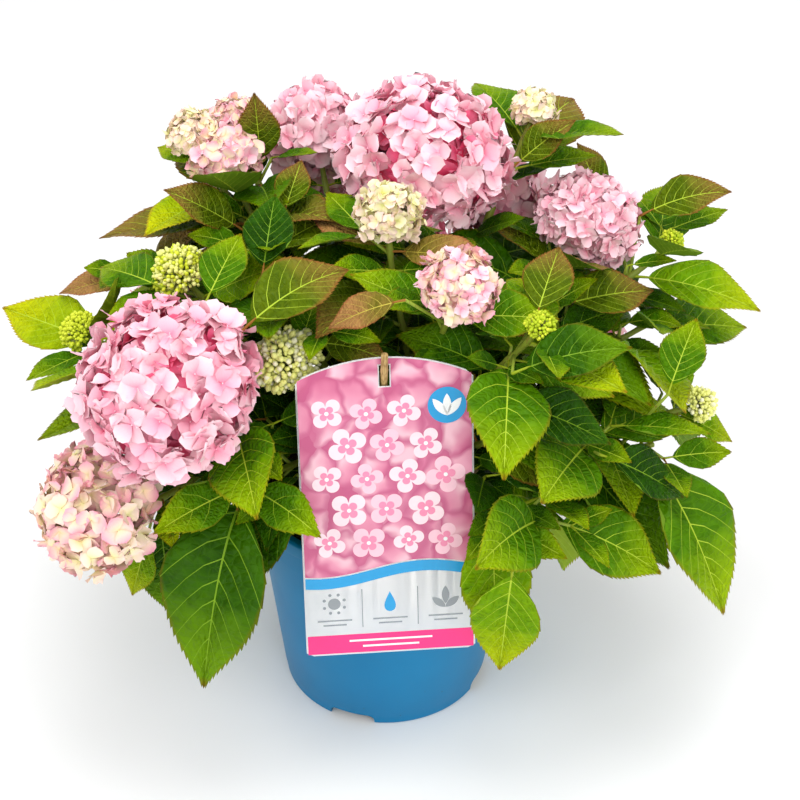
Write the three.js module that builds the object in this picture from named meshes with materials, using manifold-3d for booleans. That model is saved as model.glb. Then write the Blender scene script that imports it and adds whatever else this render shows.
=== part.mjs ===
// A mophead hydrangea in full bloom, growing as a clump of canes from its nursery pot.
// Millimetres, +Z up. The origin is the middle of the pot's flat underside, and -Y is the front, where the
// plant label leans on the rim. A bearing is an angle about Z from the front, positive towards +X.
//
// Each cane rises out of the compost as one tapering limb and ends where it enters a spray. A spray is one
// solid: a stem, the shoots that branch from it, their opposite pairs of leaves, and the bloom at each tip.

import * as THREE from "three";
import { mergeVertices } from "three/addons/utils/BufferGeometryUtils.js";
import Module from "manifold-3d";

const wasm = await Module();
wasm.setup();

// ---------------------------------------------------------------- driving dimensions

const CLEARANCE = 0.3; // between touching pieces

const POT = {
  height: 205,
  rimRadius: 116, // outer edge of the rolled rim
  rimDepth: 14,
  mouthRadius: 111, // outer wall just under the rim
  footRadius: 88,
  footRound: 1.5, // rounding where the wall meets the underside
  wall: 2.4,
  floor: 4,
  sides: 48,
  notches: 4, // arched drain slots cut through the foot
  notchBearing: -19,
  notchWidth: 40,
  notchHeight: 9.5,
  notchDepth: 26,
};

const SOIL = { top: 184, sides: 32 };

const LABEL = {
  width: 136,
  side: 238, // length of the straight sides
  arch: 16, // rise of the arched top above its corners
  thickness: 1.2,
  lean: 14, // degrees back from upright
  turn: 5, // degrees about Z
  offset: 6, // from the pot's middle plane, along X
  lowest: 130, // height of the lower edge
  slotDrop: 7, // from the top of the arch down to the slot
  slotLength: 17,
  slotWidth: 8,
};

const STAKE = { radius: 3.2, footReach: 62, sides: 8, overshoot: 23 };

const CANE = { footRadius: 6.2, tipRadius: 3.9, flare: 1.5, sides: 6, steps: 3 };

const SHOOT = { stemRadius: 4.2, baseRadius: 3, tipRadius: 2, sides: 3, steps: 6, focusHeight: 150 };

const LEAF = {
  petiole: 0.13, // share of the length from stem to blade
  halfWidth: 0.25, // share of the length
  keel: 0.13, // depth of the fold along the midrib, as a share of the half width
  stations: [0.44, 0.76], // along the length, where the blade's sections stand
  firstDrop: 9, // from under the bloom to the first pair
  pairGap: 36, // along the shoot, growing with each pair
  spread: 72, // degrees from the shoot's own line
  level: 0.4, // how much of its slope a leaf keeps as it turns to the light
  lift: 0.1,
  sag: 0.3, // how far its tip arches over
  steps: 8,
};

// How full each stage of bloom stands: florets along a cube face's edge, and how far each stands out.
const BLOOM = {
  full: { cells: 4, relief: 0.12 },
  pink: { cells: 3, relief: 0.12 },
  blush: { cells: 3, relief: 0.13 },
  cream: { cells: 2, relief: 0.12 },
  bud: { cells: 2, relief: 0.16 },
  tip: { cells: 1, relief: 0.1 },
};
const MOST_PAIRS = 5; // of leaves down one shoot
const BLOOM_RISE = 0.9; // a bloom's height above its widest part, as a share of its radius
const BLOOM_UNDER = 0.76; // and its depth below that

// What a shoot is unless its row says otherwise: a leafy tip, the size of its first leaves as a share of
// the largest, and how much further than most they hang or rise.
const LEAFY_TIP = { bloom: "tip", radius: 6, first: 0.66, hang: 1, rise: 0 };

// Every cane: where it stands in the compost, and the shoots of its spray. A shoot's reach and height place
// the middle of its bloom, leaf is the length of its largest leaves, and turn is how far the first pair is
// turned.
const CANES = [
  { name: "front_left", bearing: -52, foot: 36, shoots: [
    { bearing: -59, reach: 187, height: 361, bloom: "full", radius: 73, pairs: 4, leaf: 160, turn: 56 },
    { bearing: -48, reach: 150, height: 280, pairs: 3, leaf: 185, turn: 35, hang: 12, first: 1 },
  ] },
  { name: "low_right", bearing: 56, foot: 56, shoots: [
    { bearing: 46, reach: 186, height: 262, pairs: 3, leaf: 155, turn: 45, hang: 3, first: 0.7 },
    { bearing: 38, reach: 146, height: 262, pairs: 1, leaf: 150, turn: -48, hang: 14, first: 1 },
  ] },
  { name: "low_left", bearing: -80, foot: 52, shoots: [
    { bearing: -64, reach: 245, height: 256, bloom: "pink", radius: 54, pairs: 3, leaf: 118, turn: 60,
      hang: 3 },
    { bearing: -99, reach: 251, height: 323, bloom: "bud", radius: 17, pairs: 3, leaf: 128, turn: -16,
      hang: 0.3, rise: 0.22, first: 0.85 },
  ] },
  { name: "left", bearing: -106, foot: 32, shoots: [
    { bearing: -97, reach: 162, height: 392, bloom: "bud", radius: 23, pairs: 4, leaf: 132, turn: 4 },
    { bearing: -114, reach: 226, height: 356, pairs: 3, leaf: 125, turn: 30 },
  ] },
  { name: "inner_left", bearing: -110, foot: 12, shoots: [
    { bearing: -112, reach: 112, height: 405, pairs: 4, leaf: 140, turn: 35 },
    { bearing: -60, reach: 66, height: 372, pairs: 3, leaf: 130, turn: 100 },
  ] },
  { name: "front", bearing: -22, foot: 46, shoots: [
    { bearing: -58, reach: 90, height: 354, bloom: "cream", radius: 27, pairs: 3, leaf: 110, turn: 100 },
    { bearing: -36, reach: 112, height: 262, pairs: 2, leaf: 140, turn: 10, hang: 5, first: 0.8 },
  ] },
  { name: "back_left", bearing: -140, foot: 42, shoots: [
    { bearing: -134, reach: 181, height: 436, bloom: "blush", radius: 30, pairs: 4, leaf: 160,
      turn: -42, rise: 0.2 },
    { bearing: -132, reach: 212, height: 450, bloom: "cream", radius: 22, pairs: 3, leaf: 130,
      turn: 20, first: 0.5 },
    { bearing: -143, reach: 206, height: 448, bloom: "blush", radius: 24, pairs: 2, leaf: 120, turn: 60 },
  ] },
  { name: "low_back_left", bearing: -128, foot: 56, shoots: [
    { bearing: -130, reach: 244, height: 256, bloom: "pink", radius: 46, pairs: 3, leaf: 135, turn: 60 },
  ] },
  { name: "back", bearing: -170, foot: 46, shoots: [
    { bearing: -163, reach: 200, height: 424, bloom: "pink", radius: 45, pairs: 4, leaf: 130, turn: 45 },
    { bearing: -168, reach: 232, height: 360, bloom: "blush", radius: 36, pairs: 3, leaf: 130, turn: 10 },
  ] },
  { name: "top", bearing: 170, foot: 18, shoots: [
    { bearing: 165, reach: 124, height: 436, bloom: "full", radius: 74, pairs: 4, leaf: 140, turn: 45 },
  ] },
  { name: "middle", bearing: 20, foot: 18, shoots: [
    { bearing: 170, reach: 26, height: 442, bloom: "cream", radius: 28, pairs: 4, leaf: 125, turn: 60 },
    { bearing: 49, reach: 76, height: 424, bloom: "blush", radius: 31, pairs: 4, leaf: 125, turn: 20 },
  ] },
  { name: "back_right", bearing: 138, foot: 46, shoots: [
    { bearing: 142, reach: 202, height: 462, bloom: "cream", radius: 20, pairs: 4, leaf: 150, turn: 90,
      rise: 0.3 },
    { bearing: 156, reach: 240, height: 340, bloom: "pink", radius: 50, pairs: 3, leaf: 130, turn: 50 },
  ] },
  { name: "right_high", bearing: 112, foot: 30, shoots: [
    { bearing: 123, reach: 200, height: 385, bloom: "pink", radius: 46, pairs: 4, leaf: 155, turn: 90,
      rise: 0.25 },
    { bearing: 110, reach: 252, height: 380, bloom: "bud", radius: 10, pairs: 3, leaf: 132, turn: 50,
      rise: 0.25 },
  ] },
  { name: "inner_right", bearing: 88, foot: 14, shoots: [
    { bearing: 98, reach: 150, height: 372, pairs: 4, leaf: 140, turn: 40 },
    { bearing: 103, reach: 232, height: 330, pairs: 3, leaf: 130, turn: 0, first: 0.8 },
  ] },
  { name: "front_right", bearing: 42, foot: 44, shoots: [
    { bearing: 61, reach: 136, height: 398, bloom: "bud", radius: 12, pairs: 4, leaf: 150, turn: -20 },
    { bearing: 46, reach: 112, height: 300, pairs: 3, leaf: 135, turn: 15, hang: 3 },
  ] },
  { name: "right", bearing: 84, foot: 50, shoots: [
    { bearing: 89, reach: 256, height: 281, bloom: "bud", radius: 15, pairs: 3, leaf: 110, turn: 0,
      first: 0.55 },
    { bearing: 78, reach: 222, height: 272, pairs: 1, leaf: 145, turn: -35, hang: 8, first: 1 },
    { bearing: 68, reach: 186, height: 296, pairs: 2, leaf: 130, turn: 60, hang: 1.4, first: 0.85 },
  ] },
  { name: "low_back_right", bearing: 126, foot: 58, shoots: [
    { bearing: 134, reach: 240, height: 250, bloom: "blush", radius: 40, pairs: 3, leaf: 135, turn: 25 },
  ] },
  { name: "low_back", bearing: 176, foot: 58, shoots: [
    { bearing: 178, reach: 244, height: 262, bloom: "pink", radius: 56, pairs: 3, leaf: 135, turn: 15 },
    { bearing: -154, reach: 246, height: 256, bloom: "cream", radius: 34, pairs: 2, leaf: 130, turn: 65 },
  ] },
];
for (const cane of CANES) cane.shoots = cane.shoots.map((shoot) => ({ ...LEAFY_TIP, ...shoot }));

// ---------------------------------------------------------------- helpers

const UP = new THREE.Vector3(0, 0, 1);
const LIGHT = new THREE.Vector3(0, -0.35, 1); // the way the blades turn their faces
const vec = (x, y, z) => new THREE.Vector3(x, y, z);
const radians = THREE.MathUtils.degToRad;

// A point at this bearing from the front, this far out from the pot's axis, at this height.
function polar(bearing, reach, height) {
  const a = radians(bearing);
  return vec(reach * Math.sin(a), -reach * Math.cos(a), height);
}

// A seeded run of numbers from 0 to 1.
function seeded(seed) {
  let state = seed;
  return () => {
    state = (state * 16807) % 2147483647;
    return state / 2147483647;
  };
}

function solidOf(geometry) {
  const bare = geometry.index ? geometry.toNonIndexed() : geometry.clone();
  for (const name of ["normal", "uv"]) bare.deleteAttribute(name);
  const merged = mergeVertices(bare, 1e-4);
  return new wasm.Manifold(new wasm.Mesh({
    numProp: 3,
    vertProperties: new Float32Array(merged.attributes.position.array),
    triVerts: new Uint32Array(merged.index.array),
  }));
}

function geometryOf(solid) {
  const mesh = solid.getMesh();
  const geometry = new THREE.BufferGeometry();
  geometry.setAttribute("position", new THREE.BufferAttribute(new Float32Array(mesh.vertProperties), 3));
  geometry.setIndex(new THREE.BufferAttribute(new Uint32Array(mesh.triVerts), 1));
  return geometry.toNonIndexed();
}

// The one largest body of a solid, without loose scraps and with any sealed hollow filled.
function wholeOf(solid) {
  const bodies = solid.decompose();
  return bodies.reduce((best, body) => (body.volume() > best.volume() ? body : best));
}

// A closed skin over a row of rings with the same number of points, or of single points at its ends.
function skin(rings) {
  const corners = [];
  const triangle = (a, b, c) => corners.push(a, b, c);
  for (let i = 0; i + 1 < rings.length; i++) {
    const [low, high] = [rings[i], rings[i + 1]];
    const sides = Math.max(low.length, high.length);
    for (let k = 0; k < sides; k++) {
      const next = (k + 1) % sides;
      if (low.length > 1) triangle(low[k], low[next], high[high.length > 1 ? next : 0]);
      if (high.length > 1) triangle(low[low.length > 1 ? k : 0], high[next], high[k]);
    }
  }
  const [first, last] = [rings[0], rings.at(-1)];
  for (let k = 1; k + 1 < first.length; k++) triangle(first[0], first[k + 1], first[k]);
  for (let k = 1; k + 1 < last.length; k++) triangle(last[0], last[k], last[k + 1]);
  return new THREE.BufferGeometry().setFromPoints(corners);
}

// A round limb along a curve, its radius given at each share of the way.
function limb(curve, radiusAt, sides, steps) {
  const frames = curve.computeFrenetFrames(steps, false);
  const rings = [];
  for (let i = 0; i <= steps; i++) {
    const middle = curve.getPointAt(i / steps);
    const radius = radiusAt(i / steps);
    const ring = [];
    for (let k = 0; k < sides; k++) {
      const a = (2 * Math.PI * k) / sides;
      ring.push(middle.clone()
        .addScaledVector(frames.normals[i], radius * Math.cos(a))
        .addScaledVector(frames.binormals[i], radius * Math.sin(a)));
    }
    rings.push(ring);
  }
  return skin(rings);
}

const taper = (from, to) => (share) => from + (to - from) * share;

// ---------------------------------------------------------------- pot, compost, label and stake

function wallRadius(height) {
  return POT.footRadius + ((POT.mouthRadius - POT.footRadius) * height) / POT.height;
}

function notchShape() {
  const half = POT.notchWidth / 2;
  const height = POT.notchHeight;
  return new THREE.Shape([
    [half, -1], [half * 0.8, height * 0.8], [half * 0.62, height],
    [-half * 0.62, height], [-half * 0.8, height * 0.8], [-half, -1],
  ].map(([x, y]) => new THREE.Vector2(x, y)));
}

function potGeometry() {
  const collar = POT.height - POT.rimDepth;
  const profile = [
    [0, 0],
    [POT.footRadius - POT.footRound, 0],
    [POT.footRadius - POT.footRound * 0.3, POT.footRound * 0.3],
    [wallRadius(POT.footRound), POT.footRound],
    [wallRadius(collar), collar],
    [POT.rimRadius, collar + 1.5],
    [POT.rimRadius, POT.height - 2],
    [POT.rimRadius - 2, POT.height],
    [POT.mouthRadius - POT.wall, POT.height],
    [wallRadius(POT.floor) - POT.wall, POT.floor],
    [0, POT.floor],
  ].map(([radius, height]) => new THREE.Vector2(radius, height));
  let pot = solidOf(new THREE.LatheGeometry(profile, POT.sides).rotateX(Math.PI / 2));
  for (let i = 0; i < POT.notches; i++) {
    const bearing = POT.notchBearing + (360 * i) / POT.notches;
    const slot = new THREE.ExtrudeGeometry(notchShape(), { depth: POT.notchDepth, bevelEnabled: false })
      .rotateX(Math.PI / 2)
      .translate(0, -(POT.footRadius + 6 - POT.notchDepth), 0)
      .rotateZ(radians(bearing));
    pot = pot.subtract(solidOf(slot));
  }
  return geometryOf(pot);
}

function soilGeometry() {
  const gap = POT.wall + CLEARANCE + 0.4;
  const bottom = POT.floor + CLEARANCE;
  const clearOfNotch = POT.footRadius + 6 - POT.notchDepth - 2;
  const shoulder = POT.notchHeight + 2;
  const profile = [
    [0, bottom],
    [clearOfNotch, bottom],
    [wallRadius(shoulder) - gap, shoulder + 4],
    [wallRadius(SOIL.top) - gap, SOIL.top - 2],
    [wallRadius(SOIL.top) * 0.86, SOIL.top],
    [0, SOIL.top],
  ].map(([radius, height]) => new THREE.Vector2(radius, height));
  return new THREE.LatheGeometry(profile, SOIL.sides).rotateX(Math.PI / 2);
}

// The label's frame: X across it, Z up its face, and -Y out of its front. It leans on the front of the rim.
function labelFrame() {
  const lean = radians(LABEL.lean);
  const restY = -(POT.rimRadius + CLEARANCE) - LABEL.thickness / 2 / Math.cos(lean) - 0.4;
  const drop = POT.height - 2 - LABEL.lowest;
  const turned = new THREE.Matrix4().makeRotationZ(radians(LABEL.turn))
    .multiply(new THREE.Matrix4().makeRotationX(-lean));
  const foot = vec(LABEL.offset, restY - drop * Math.tan(lean), LABEL.lowest);
  return turned.setPosition(foot);
}

function labelGeometry() {
  const half = LABEL.width / 2;
  const shape = new THREE.Shape();
  shape.moveTo(-half, 0);
  shape.lineTo(half, 0);
  shape.lineTo(half, LABEL.side);
  shape.quadraticCurveTo(0, LABEL.side + 2 * LABEL.arch, -half, LABEL.side);
  const slotTop = LABEL.side + LABEL.arch - LABEL.slotDrop;
  const slot = new THREE.Path();
  slot.moveTo(-LABEL.slotWidth / 2, slotTop - LABEL.slotLength);
  slot.lineTo(-LABEL.slotWidth / 2, slotTop);
  slot.lineTo(LABEL.slotWidth / 2, slotTop);
  slot.lineTo(LABEL.slotWidth / 2, slotTop - LABEL.slotLength);
  shape.holes.push(slot);
  const cut = { depth: LABEL.thickness, bevelEnabled: false, curveSegments: 10 };
  return new THREE.ExtrudeGeometry(shape, cut)
    .translate(0, 0, -LABEL.thickness / 2)
    .rotateX(Math.PI / 2)
    .applyMatrix4(labelFrame());
}

// A thin cane stake that stands in the compost behind the label and comes forward through its slot.
function stakeGeometry() {
  const frame = labelFrame();
  const slotMiddle = LABEL.side + LABEL.arch - LABEL.slotDrop - LABEL.slotLength / 2;
  const through = vec(0, 0, slotMiddle).applyMatrix4(frame);
  const outward = vec(0, -0.5, 1).transformDirection(frame);
  const foot = polar(4, STAKE.footReach, SOIL.top + CLEARANCE);
  const tip = through.clone().addScaledVector(outward, STAKE.overshoot);
  const behind = through.clone().addScaledVector(outward, -24);
  const curve = new THREE.CatmullRomCurve3([
    foot, foot.clone().setZ(SOIL.top + 40), behind.clone().add(vec(0, 4, -50)), behind, through, tip,
  ]);
  return limb(curve, taper(STAKE.radius, STAKE.radius * 0.85), STAKE.sides, 14);
}

// ---------------------------------------------------------------- canes and shoots

const bloomAt = (shoot) => polar(shoot.bearing, shoot.reach, shoot.height);

// A bloom faces away from a point low in the middle of the clump, and its shoot comes up behind it.
function facing(shoot) {
  return bloomAt(shoot).sub(vec(0, 0, SHOOT.focusHeight)).normalize();
}

// Where a cane ends and its spray begins: low over the rim, on the way to its blooms.
function forkOf(cane) {
  const middle = vec(0, 0, 0);
  for (const shoot of cane.shoots) middle.addScaledVector(bloomAt(shoot), 1 / cane.shoots.length);
  const out = Math.hypot(middle.x, middle.y);
  const height = SOIL.top + 26 + 0.16 * (middle.z - SOIL.top);
  const reach = Math.max(cane.foot + 4, 0.36 * out);
  return vec((middle.x / out) * reach, (middle.y / out) * reach, height);
}

function forkLine(cane) {
  const foot = polar(cane.bearing, cane.foot, SOIL.top + CLEARANCE);
  return forkOf(cane).sub(foot).normalize().add(vec(0, 0, 0.6)).normalize();
}

function caneGeometry(cane) {
  const foot = polar(cane.bearing, cane.foot, SOIL.top + CLEARANCE);
  const fork = forkOf(cane);
  const curve = new THREE.CubicBezierCurve3(
    foot, foot.clone().add(vec(0, 0, 14)), fork.clone().addScaledVector(forkLine(cane), -14), fork);
  const flared = (share) => {
    const radius = CANE.footRadius + (CANE.tipRadius - CANE.footRadius) * share;
    return radius + CANE.flare * Math.max(0, 1 - share * 5);
  };
  return limb(curve, flared, CANE.sides, CANE.steps);
}

function shootCurve(cane, shoot) {
  const start = forkOf(cane).addScaledVector(forkLine(cane), 6);
  const face = facing(shoot);
  const end = bloomAt(shoot).addScaledVector(face, -0.3 * shoot.radius);
  const span = start.distanceTo(end);
  return new THREE.CubicBezierCurve3(
    start,
    start.clone().addScaledVector(forkLine(cane), 0.35 * span),
    end.clone().addScaledVector(face, -0.35 * span),
    end);
}

// ---------------------------------------------------------------- leaves

// The blade's half width, from 0 to 1, at this share of the way along it.
function outline(share) {
  return share <= 0 || share >= 1 ? 0 : Math.sin(Math.PI * Math.pow(share, 0.82)) ** 0.85;
}

function alongLeaf(leaf, share) {
  return leaf.heading.clone().add(vec(0, 0, -leaf.sag * share)).normalize();
}

// The midrib's point, its direction, and the directions across the blade and out of its upper face.
function sectionOf(leaf, share) {
  const point = leaf.root.clone();
  for (let i = 0; i < LEAF.steps; i++) {
    const part = ((i + 0.5) / LEAF.steps) * share;
    point.addScaledVector(alongLeaf(leaf, part), (leaf.length * share) / LEAF.steps);
  }
  const along = alongLeaf(leaf, share);
  const across = leaf.across.clone().addScaledVector(along, -leaf.across.dot(along)).normalize();
  return { point, along, across, face: across.clone().cross(along) };
}

function bladeWidth(leaf, share) {
  return LEAF.halfWidth * leaf.length * outline((share - LEAF.petiole) / (1 - LEAF.petiole));
}

// A leaf as a closed solid: a shallow keeled section at each station, from the stem to the tip. extra
// thickens it, and the blade alone starts beyond the petiole.
function leafSolid(leaf, extra = 0, start = 0) {
  const rings = [start, ...LEAF.stations].map((share) => {
    const { point, across, face } = sectionOf(leaf, share);
    const half = Math.max(2, bladeWidth(leaf, share)) + extra;
    const keel = Math.max(1.6, LEAF.keel * half) + extra;
    const corner = (side, deep) =>
      point.clone().addScaledVector(across, side * half).addScaledVector(face, deep * keel);
    return [corner(-1, 0.5), corner(1, 0.5), corner(0, -0.5)];
  });
  return solidOf(skin([...rings, [sectionOf(leaf, 1).point]]));
}

// Points over the blade, for telling what it would run into.
function leafProbes(leaf) {
  const probes = [];
  for (const share of [0.3, 0.45, 0.6, 0.75, 0.9, 1]) {
    const { point, across, face } = sectionOf(leaf, share);
    const half = bladeWidth(leaf, share);
    for (const side of [-0.9, 0, 0.9]) {
      probes.push(point.clone()
        .addScaledVector(across, side * half)
        .addScaledVector(face, Math.abs(side) * half * 0.25));
    }
  }
  return probes;
}

const labelBack = labelFrame().invert();

// True where a leaf can't be: in the pot or compost, in the label or in front of it, or inside a bloom.
function occupied(point) {
  const out = Math.hypot(point.x, point.y);
  if (point.z < POT.height + 6 && out < Math.max(POT.rimRadius, wallRadius(point.z)) + 5) return true;
  const onLabel = point.clone().applyMatrix4(labelBack);
  const beyond = Math.abs(onLabel.x) - LABEL.width / 2;
  const level = onLabel.z > -30 && onLabel.z < LABEL.side + LABEL.arch + 4;
  if (level && beyond < (Math.abs(onLabel.y) < 5 ? 3 : -14) && onLabel.y < 5) return true;
  return CANES.some((cane) => cane.shoots.some((shoot) => {
    const from = point.clone().sub(bloomAt(shoot));
    const up = from.dot(facing(shoot));
    const aside = Math.sqrt(Math.max(0, from.lengthSq() - up * up));
    const rise = (up > 0 ? BLOOM_RISE : BLOOM_UNDER) * shoot.radius;
    return Math.hypot(aside / shoot.radius, up / rise) < 1.04;
  }));
}

// The opposite pairs of leaves down a shoot, each pair a quarter turn on from the last.
function leavesOf(cane, shoot, seed) {
  const draw = seeded(seed);
  const curve = shootCurve(cane, shoot);
  const length = curve.getLength();
  const leaves = [];
  let drop = BLOOM_UNDER * shoot.radius * 0.7 + LEAF.firstDrop;
  for (let pair = 0; pair < shoot.pairs; pair++) {
    const share = 1 - drop / length;
    drop += LEAF.pairGap * (0.75 + 0.35 * pair);
    if (share < 0.04) break;
    const root = curve.getPointAt(share);
    const stem = curve.getTangentAt(share);
    const out = facing(shoot).setZ(0).normalize();
    const side = stem.clone().cross(out).normalize();
    const front = side.clone().cross(stem).normalize();
    for (let half = 0; half < 2; half++) {
      leaves.push({
        root, stem, out, side, front, pair,
        angle: shoot.turn + 90 * pair + 180 * half + 24 * (draw() - 0.5),
        length: shoot.leaf * Math.min(1, shoot.first + 0.2 * pair) * (0.92 + 0.16 * draw()),
        spread: LEAF.spread + 7 * pair + 12 * (draw() - 0.5),
        sag: LEAF.sag * shoot.hang * (0.3 + 0.5 * pair + 0.8 * draw()),
        lift: LEAF.lift + shoot.rise,
        roll: 0.4 * (draw() - 0.5),
      });
    }
  }
  return leaves;
}

// The ways a leaf may give to keep clear of what stands round it: turned about its shoot by so many degrees,
// with so much more sag, and grown to so much of its length.
const GIVES = [
  [0, 0, 1], [0, 0.3, 1], [16, 0.1, 1], [-16, 0.1, 1], [0, -0.25, 1], [30, 0.2, 1], [-30, 0.2, 1],
  [0, 0.7, 0.9], [24, 0.5, 0.85], [-24, 0.5, 0.85], [0, 0, 0.7], [40, 0.3, 0.7], [-40, 0.3, 0.7],
  [0, 0.9, 0.66],
];

// A leaf laid out with one of those ways of giving.
function laid(leaf, [turned, sagged, grown]) {
  const angle = radians(leaf.angle + turned);
  const spread = radians(leaf.spread);
  const heading = leaf.front.clone().multiplyScalar(Math.cos(angle) * Math.sin(spread))
    .addScaledVector(leaf.side, Math.sin(angle) * Math.sin(spread))
    .addScaledVector(leaf.stem, Math.cos(spread));
  heading.setZ(LEAF.level * heading.z + leaf.lift).normalize();
  const light = LIGHT.clone().addScaledVector(leaf.stem, 0.35).addScaledVector(leaf.out, 0.2);
  const across = heading.clone().cross(light).normalize();
  across.addScaledVector(heading.clone().cross(across), leaf.roll).normalize();
  return { ...leaf, heading, across, sag: leaf.sag + sagged, length: leaf.length * grown };
}

// ---------------------------------------------------------------- blooms

// A mophead: a ball of florets, each one a low pyramid on a cell of a cube blown up to a sphere.
function bloomSolid(shoot, seed) {
  const { cells, relief } = BLOOM[shoot.bloom];
  const draw = seeded(seed);
  const turn = new THREE.Quaternion().setFromUnitVectors(UP, facing(shoot));
  const middle = bloomAt(shoot);
  const place = (direction, radius) => {
    const p = direction.clone().normalize().multiplyScalar(radius * shoot.radius);
    p.z *= p.z > 0 ? BLOOM_RISE : BLOOM_UNDER;
    return p.applyQuaternion(turn).add(middle);
  };
  const even = (k) => Math.tan((Math.PI / 4) * ((2 * k) / cells - 1));
  const corners = [];
  for (let face = 0; face < 6; face++) {
    const flip = face < 3 ? 1 : -1;
    const on = (a, b) => {
      const p = [flip, a, b * flip];
      return vec(p[(3 - (face % 3)) % 3], p[(4 - (face % 3)) % 3], p[(5 - (face % 3)) % 3]);
    };
    for (let i = 0; i < cells; i++) {
      for (let k = 0; k < cells; k++) {
        const ring = [[i, k], [i + 1, k], [i + 1, k + 1], [i, k + 1]]
          .map(([a, b]) => place(on(even(a), even(b)), 1 - relief));
        const top = place(on(even(i + 0.5), even(k + 0.5)), 1 - 0.4 * relief * draw());
        for (let c = 0; c < 4; c++) corners.push(ring[c], ring[(c + 1) % 4], top);
      }
    }
  }
  return solidOf(new THREE.BufferGeometry().setFromPoints(corners));
}

// ---------------------------------------------------------------- sprays

// The stem stub and the shoots with their blooms, which every leaf has to keep clear of.
function sprayFrame(cane, index) {
  const line = forkLine(cane);
  const start = forkOf(cane).addScaledVector(line, CLEARANCE);
  const stub = new THREE.LineCurve3(start, start.clone().addScaledVector(line, 13));
  let solid = solidOf(limb(stub, taper(CANE.tipRadius, SHOOT.stemRadius * 0.8), CANE.sides, 1));
  cane.shoots.forEach((shoot, k) => {
    const radius = taper(SHOOT.baseRadius, SHOOT.tipRadius);
    const twig = limb(shootCurve(cane, shoot), radius, SHOOT.sides, SHOOT.steps);
    solid = solid.add(solidOf(twig)).add(bloomSolid(shoot, 1000 + 10 * index + k));
  });
  return solid;
}

const shade = (colour, roughness, metalness = 0) =>
  new THREE.MeshStandardMaterial({ color: colour, roughness, metalness });

const MATERIALS = {
  pot: shade("#1e79a7", 0.42),
  soil: shade("#2b1d14", 0.95),
  label: shade("#f2b9cd", 0.3),
  stake: shade("#bd985b", 0.7),
  cane: shade("#6f7a2c", 0.75),
  spray: shade("#5e8804", 0.55),
};

function piece(name, geometry, material) {
  const mesh = new THREE.Mesh(geometry, material);
  mesh.name = name;
  return mesh;
}

const plant = new THREE.Group();
plant.name = "potted_hydrangea";
plant.add(piece("pot", potGeometry(), MATERIALS.pot));
plant.add(piece("compost", soilGeometry(), MATERIALS.soil));
plant.add(piece("plant_label", labelGeometry(), MATERIALS.label));
plant.add(piece("label_stake", stakeGeometry(), MATERIALS.stake));
for (const cane of CANES) plant.add(piece("cane_" + cane.name, caneGeometry(cane), MATERIALS.cane));

// Leaves are set pair by pair from the top of every shoot down, and one with no free place is left out.
const standing = plant.children.map((mesh) => solidOf(mesh.geometry));
const sprays = CANES.map(sprayFrame);
const foliage = CANES.map(() => []);
const blades = CANES.map(() => []);
for (let pair = 0; pair < MOST_PAIRS; pair++) {
  CANES.forEach((cane, index) => cane.shoots.forEach((shoot, k) => {
    const foreign = [...standing, ...sprays, ...foliage.flat()]
      .filter((solid) => solid !== sprays[index] && !foliage[index].includes(solid));
    for (const leaf of leavesOf(cane, shoot, 7919 * (index + 1) + 101 * (k + 1))) {
      if (leaf.pair !== pair) continue;
      const place = GIVES.map((give) => laid(leaf, give)).find((tried) => {
        if (leafProbes(tried).some(occupied)) return false;
        const wide = leafSolid(tried, 0.7);
        if (foreign.some((solid) => !wide.intersect(solid).isEmpty())) return false;
        const blade = leafSolid(tried, 0.2, 0.2);
        return !blades[index].some((solid) => !blade.intersect(solid).isEmpty());
      });
      if (!place) continue;
      foliage[index].push(leafSolid(place));
      blades[index].push(leafSolid(place, 0.2, 0.2));
    }
  }));
}
CANES.forEach((cane, index) => {
  const spray = wholeOf(foliage[index].reduce((whole, leaf) => whole.add(leaf), sprays[index]));
  plant.add(piece("spray_" + cane.name, geometryOf(spray), MATERIALS.spray));
});

export default plant;
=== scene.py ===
import math

import bmesh
import bpy
import numpy as np
from mathutils import Matrix, Vector, noise
from mathutils.bvhtree import BVHTree


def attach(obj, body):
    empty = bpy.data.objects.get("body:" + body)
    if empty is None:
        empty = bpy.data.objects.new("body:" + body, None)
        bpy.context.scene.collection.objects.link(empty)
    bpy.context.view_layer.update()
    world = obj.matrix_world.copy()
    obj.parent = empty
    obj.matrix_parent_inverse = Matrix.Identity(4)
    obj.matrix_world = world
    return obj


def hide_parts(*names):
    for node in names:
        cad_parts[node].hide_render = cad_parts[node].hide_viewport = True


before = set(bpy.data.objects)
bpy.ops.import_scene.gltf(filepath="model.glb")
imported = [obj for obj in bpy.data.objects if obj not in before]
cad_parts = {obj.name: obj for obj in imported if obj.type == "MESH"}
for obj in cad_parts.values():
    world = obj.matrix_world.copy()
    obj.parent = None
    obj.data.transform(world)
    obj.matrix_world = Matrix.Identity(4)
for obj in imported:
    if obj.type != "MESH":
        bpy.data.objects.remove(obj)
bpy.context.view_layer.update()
MM = 0.001

# ------------------------------------------------------------------------------------------- pot
# A 23 cm round nursery pot, injection-moulded in blue polypropylene. The wall tapers from a deep
# rolled collar down to the foot, where four arched slots let water out. It stands on its flat
# underside, and everything else is planted in it.

POT_HEIGHT = 205 * MM
RIM_RADIUS = 116 * MM
RIM_DEPTH = 14 * MM
MOUTH_RADIUS = 111 * MM
FOOT_RADIUS = 88 * MM
POT_WALL = 2.4 * MM
POT_FLOOR = 4 * MM
SLOT_COUNT = 4
SLOT_BEARING = -19
SLOT_WIDTH = 40 * MM
SLOT_HEIGHT = 9.5 * MM
SLOT_DEPTH = 26 * MM


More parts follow.
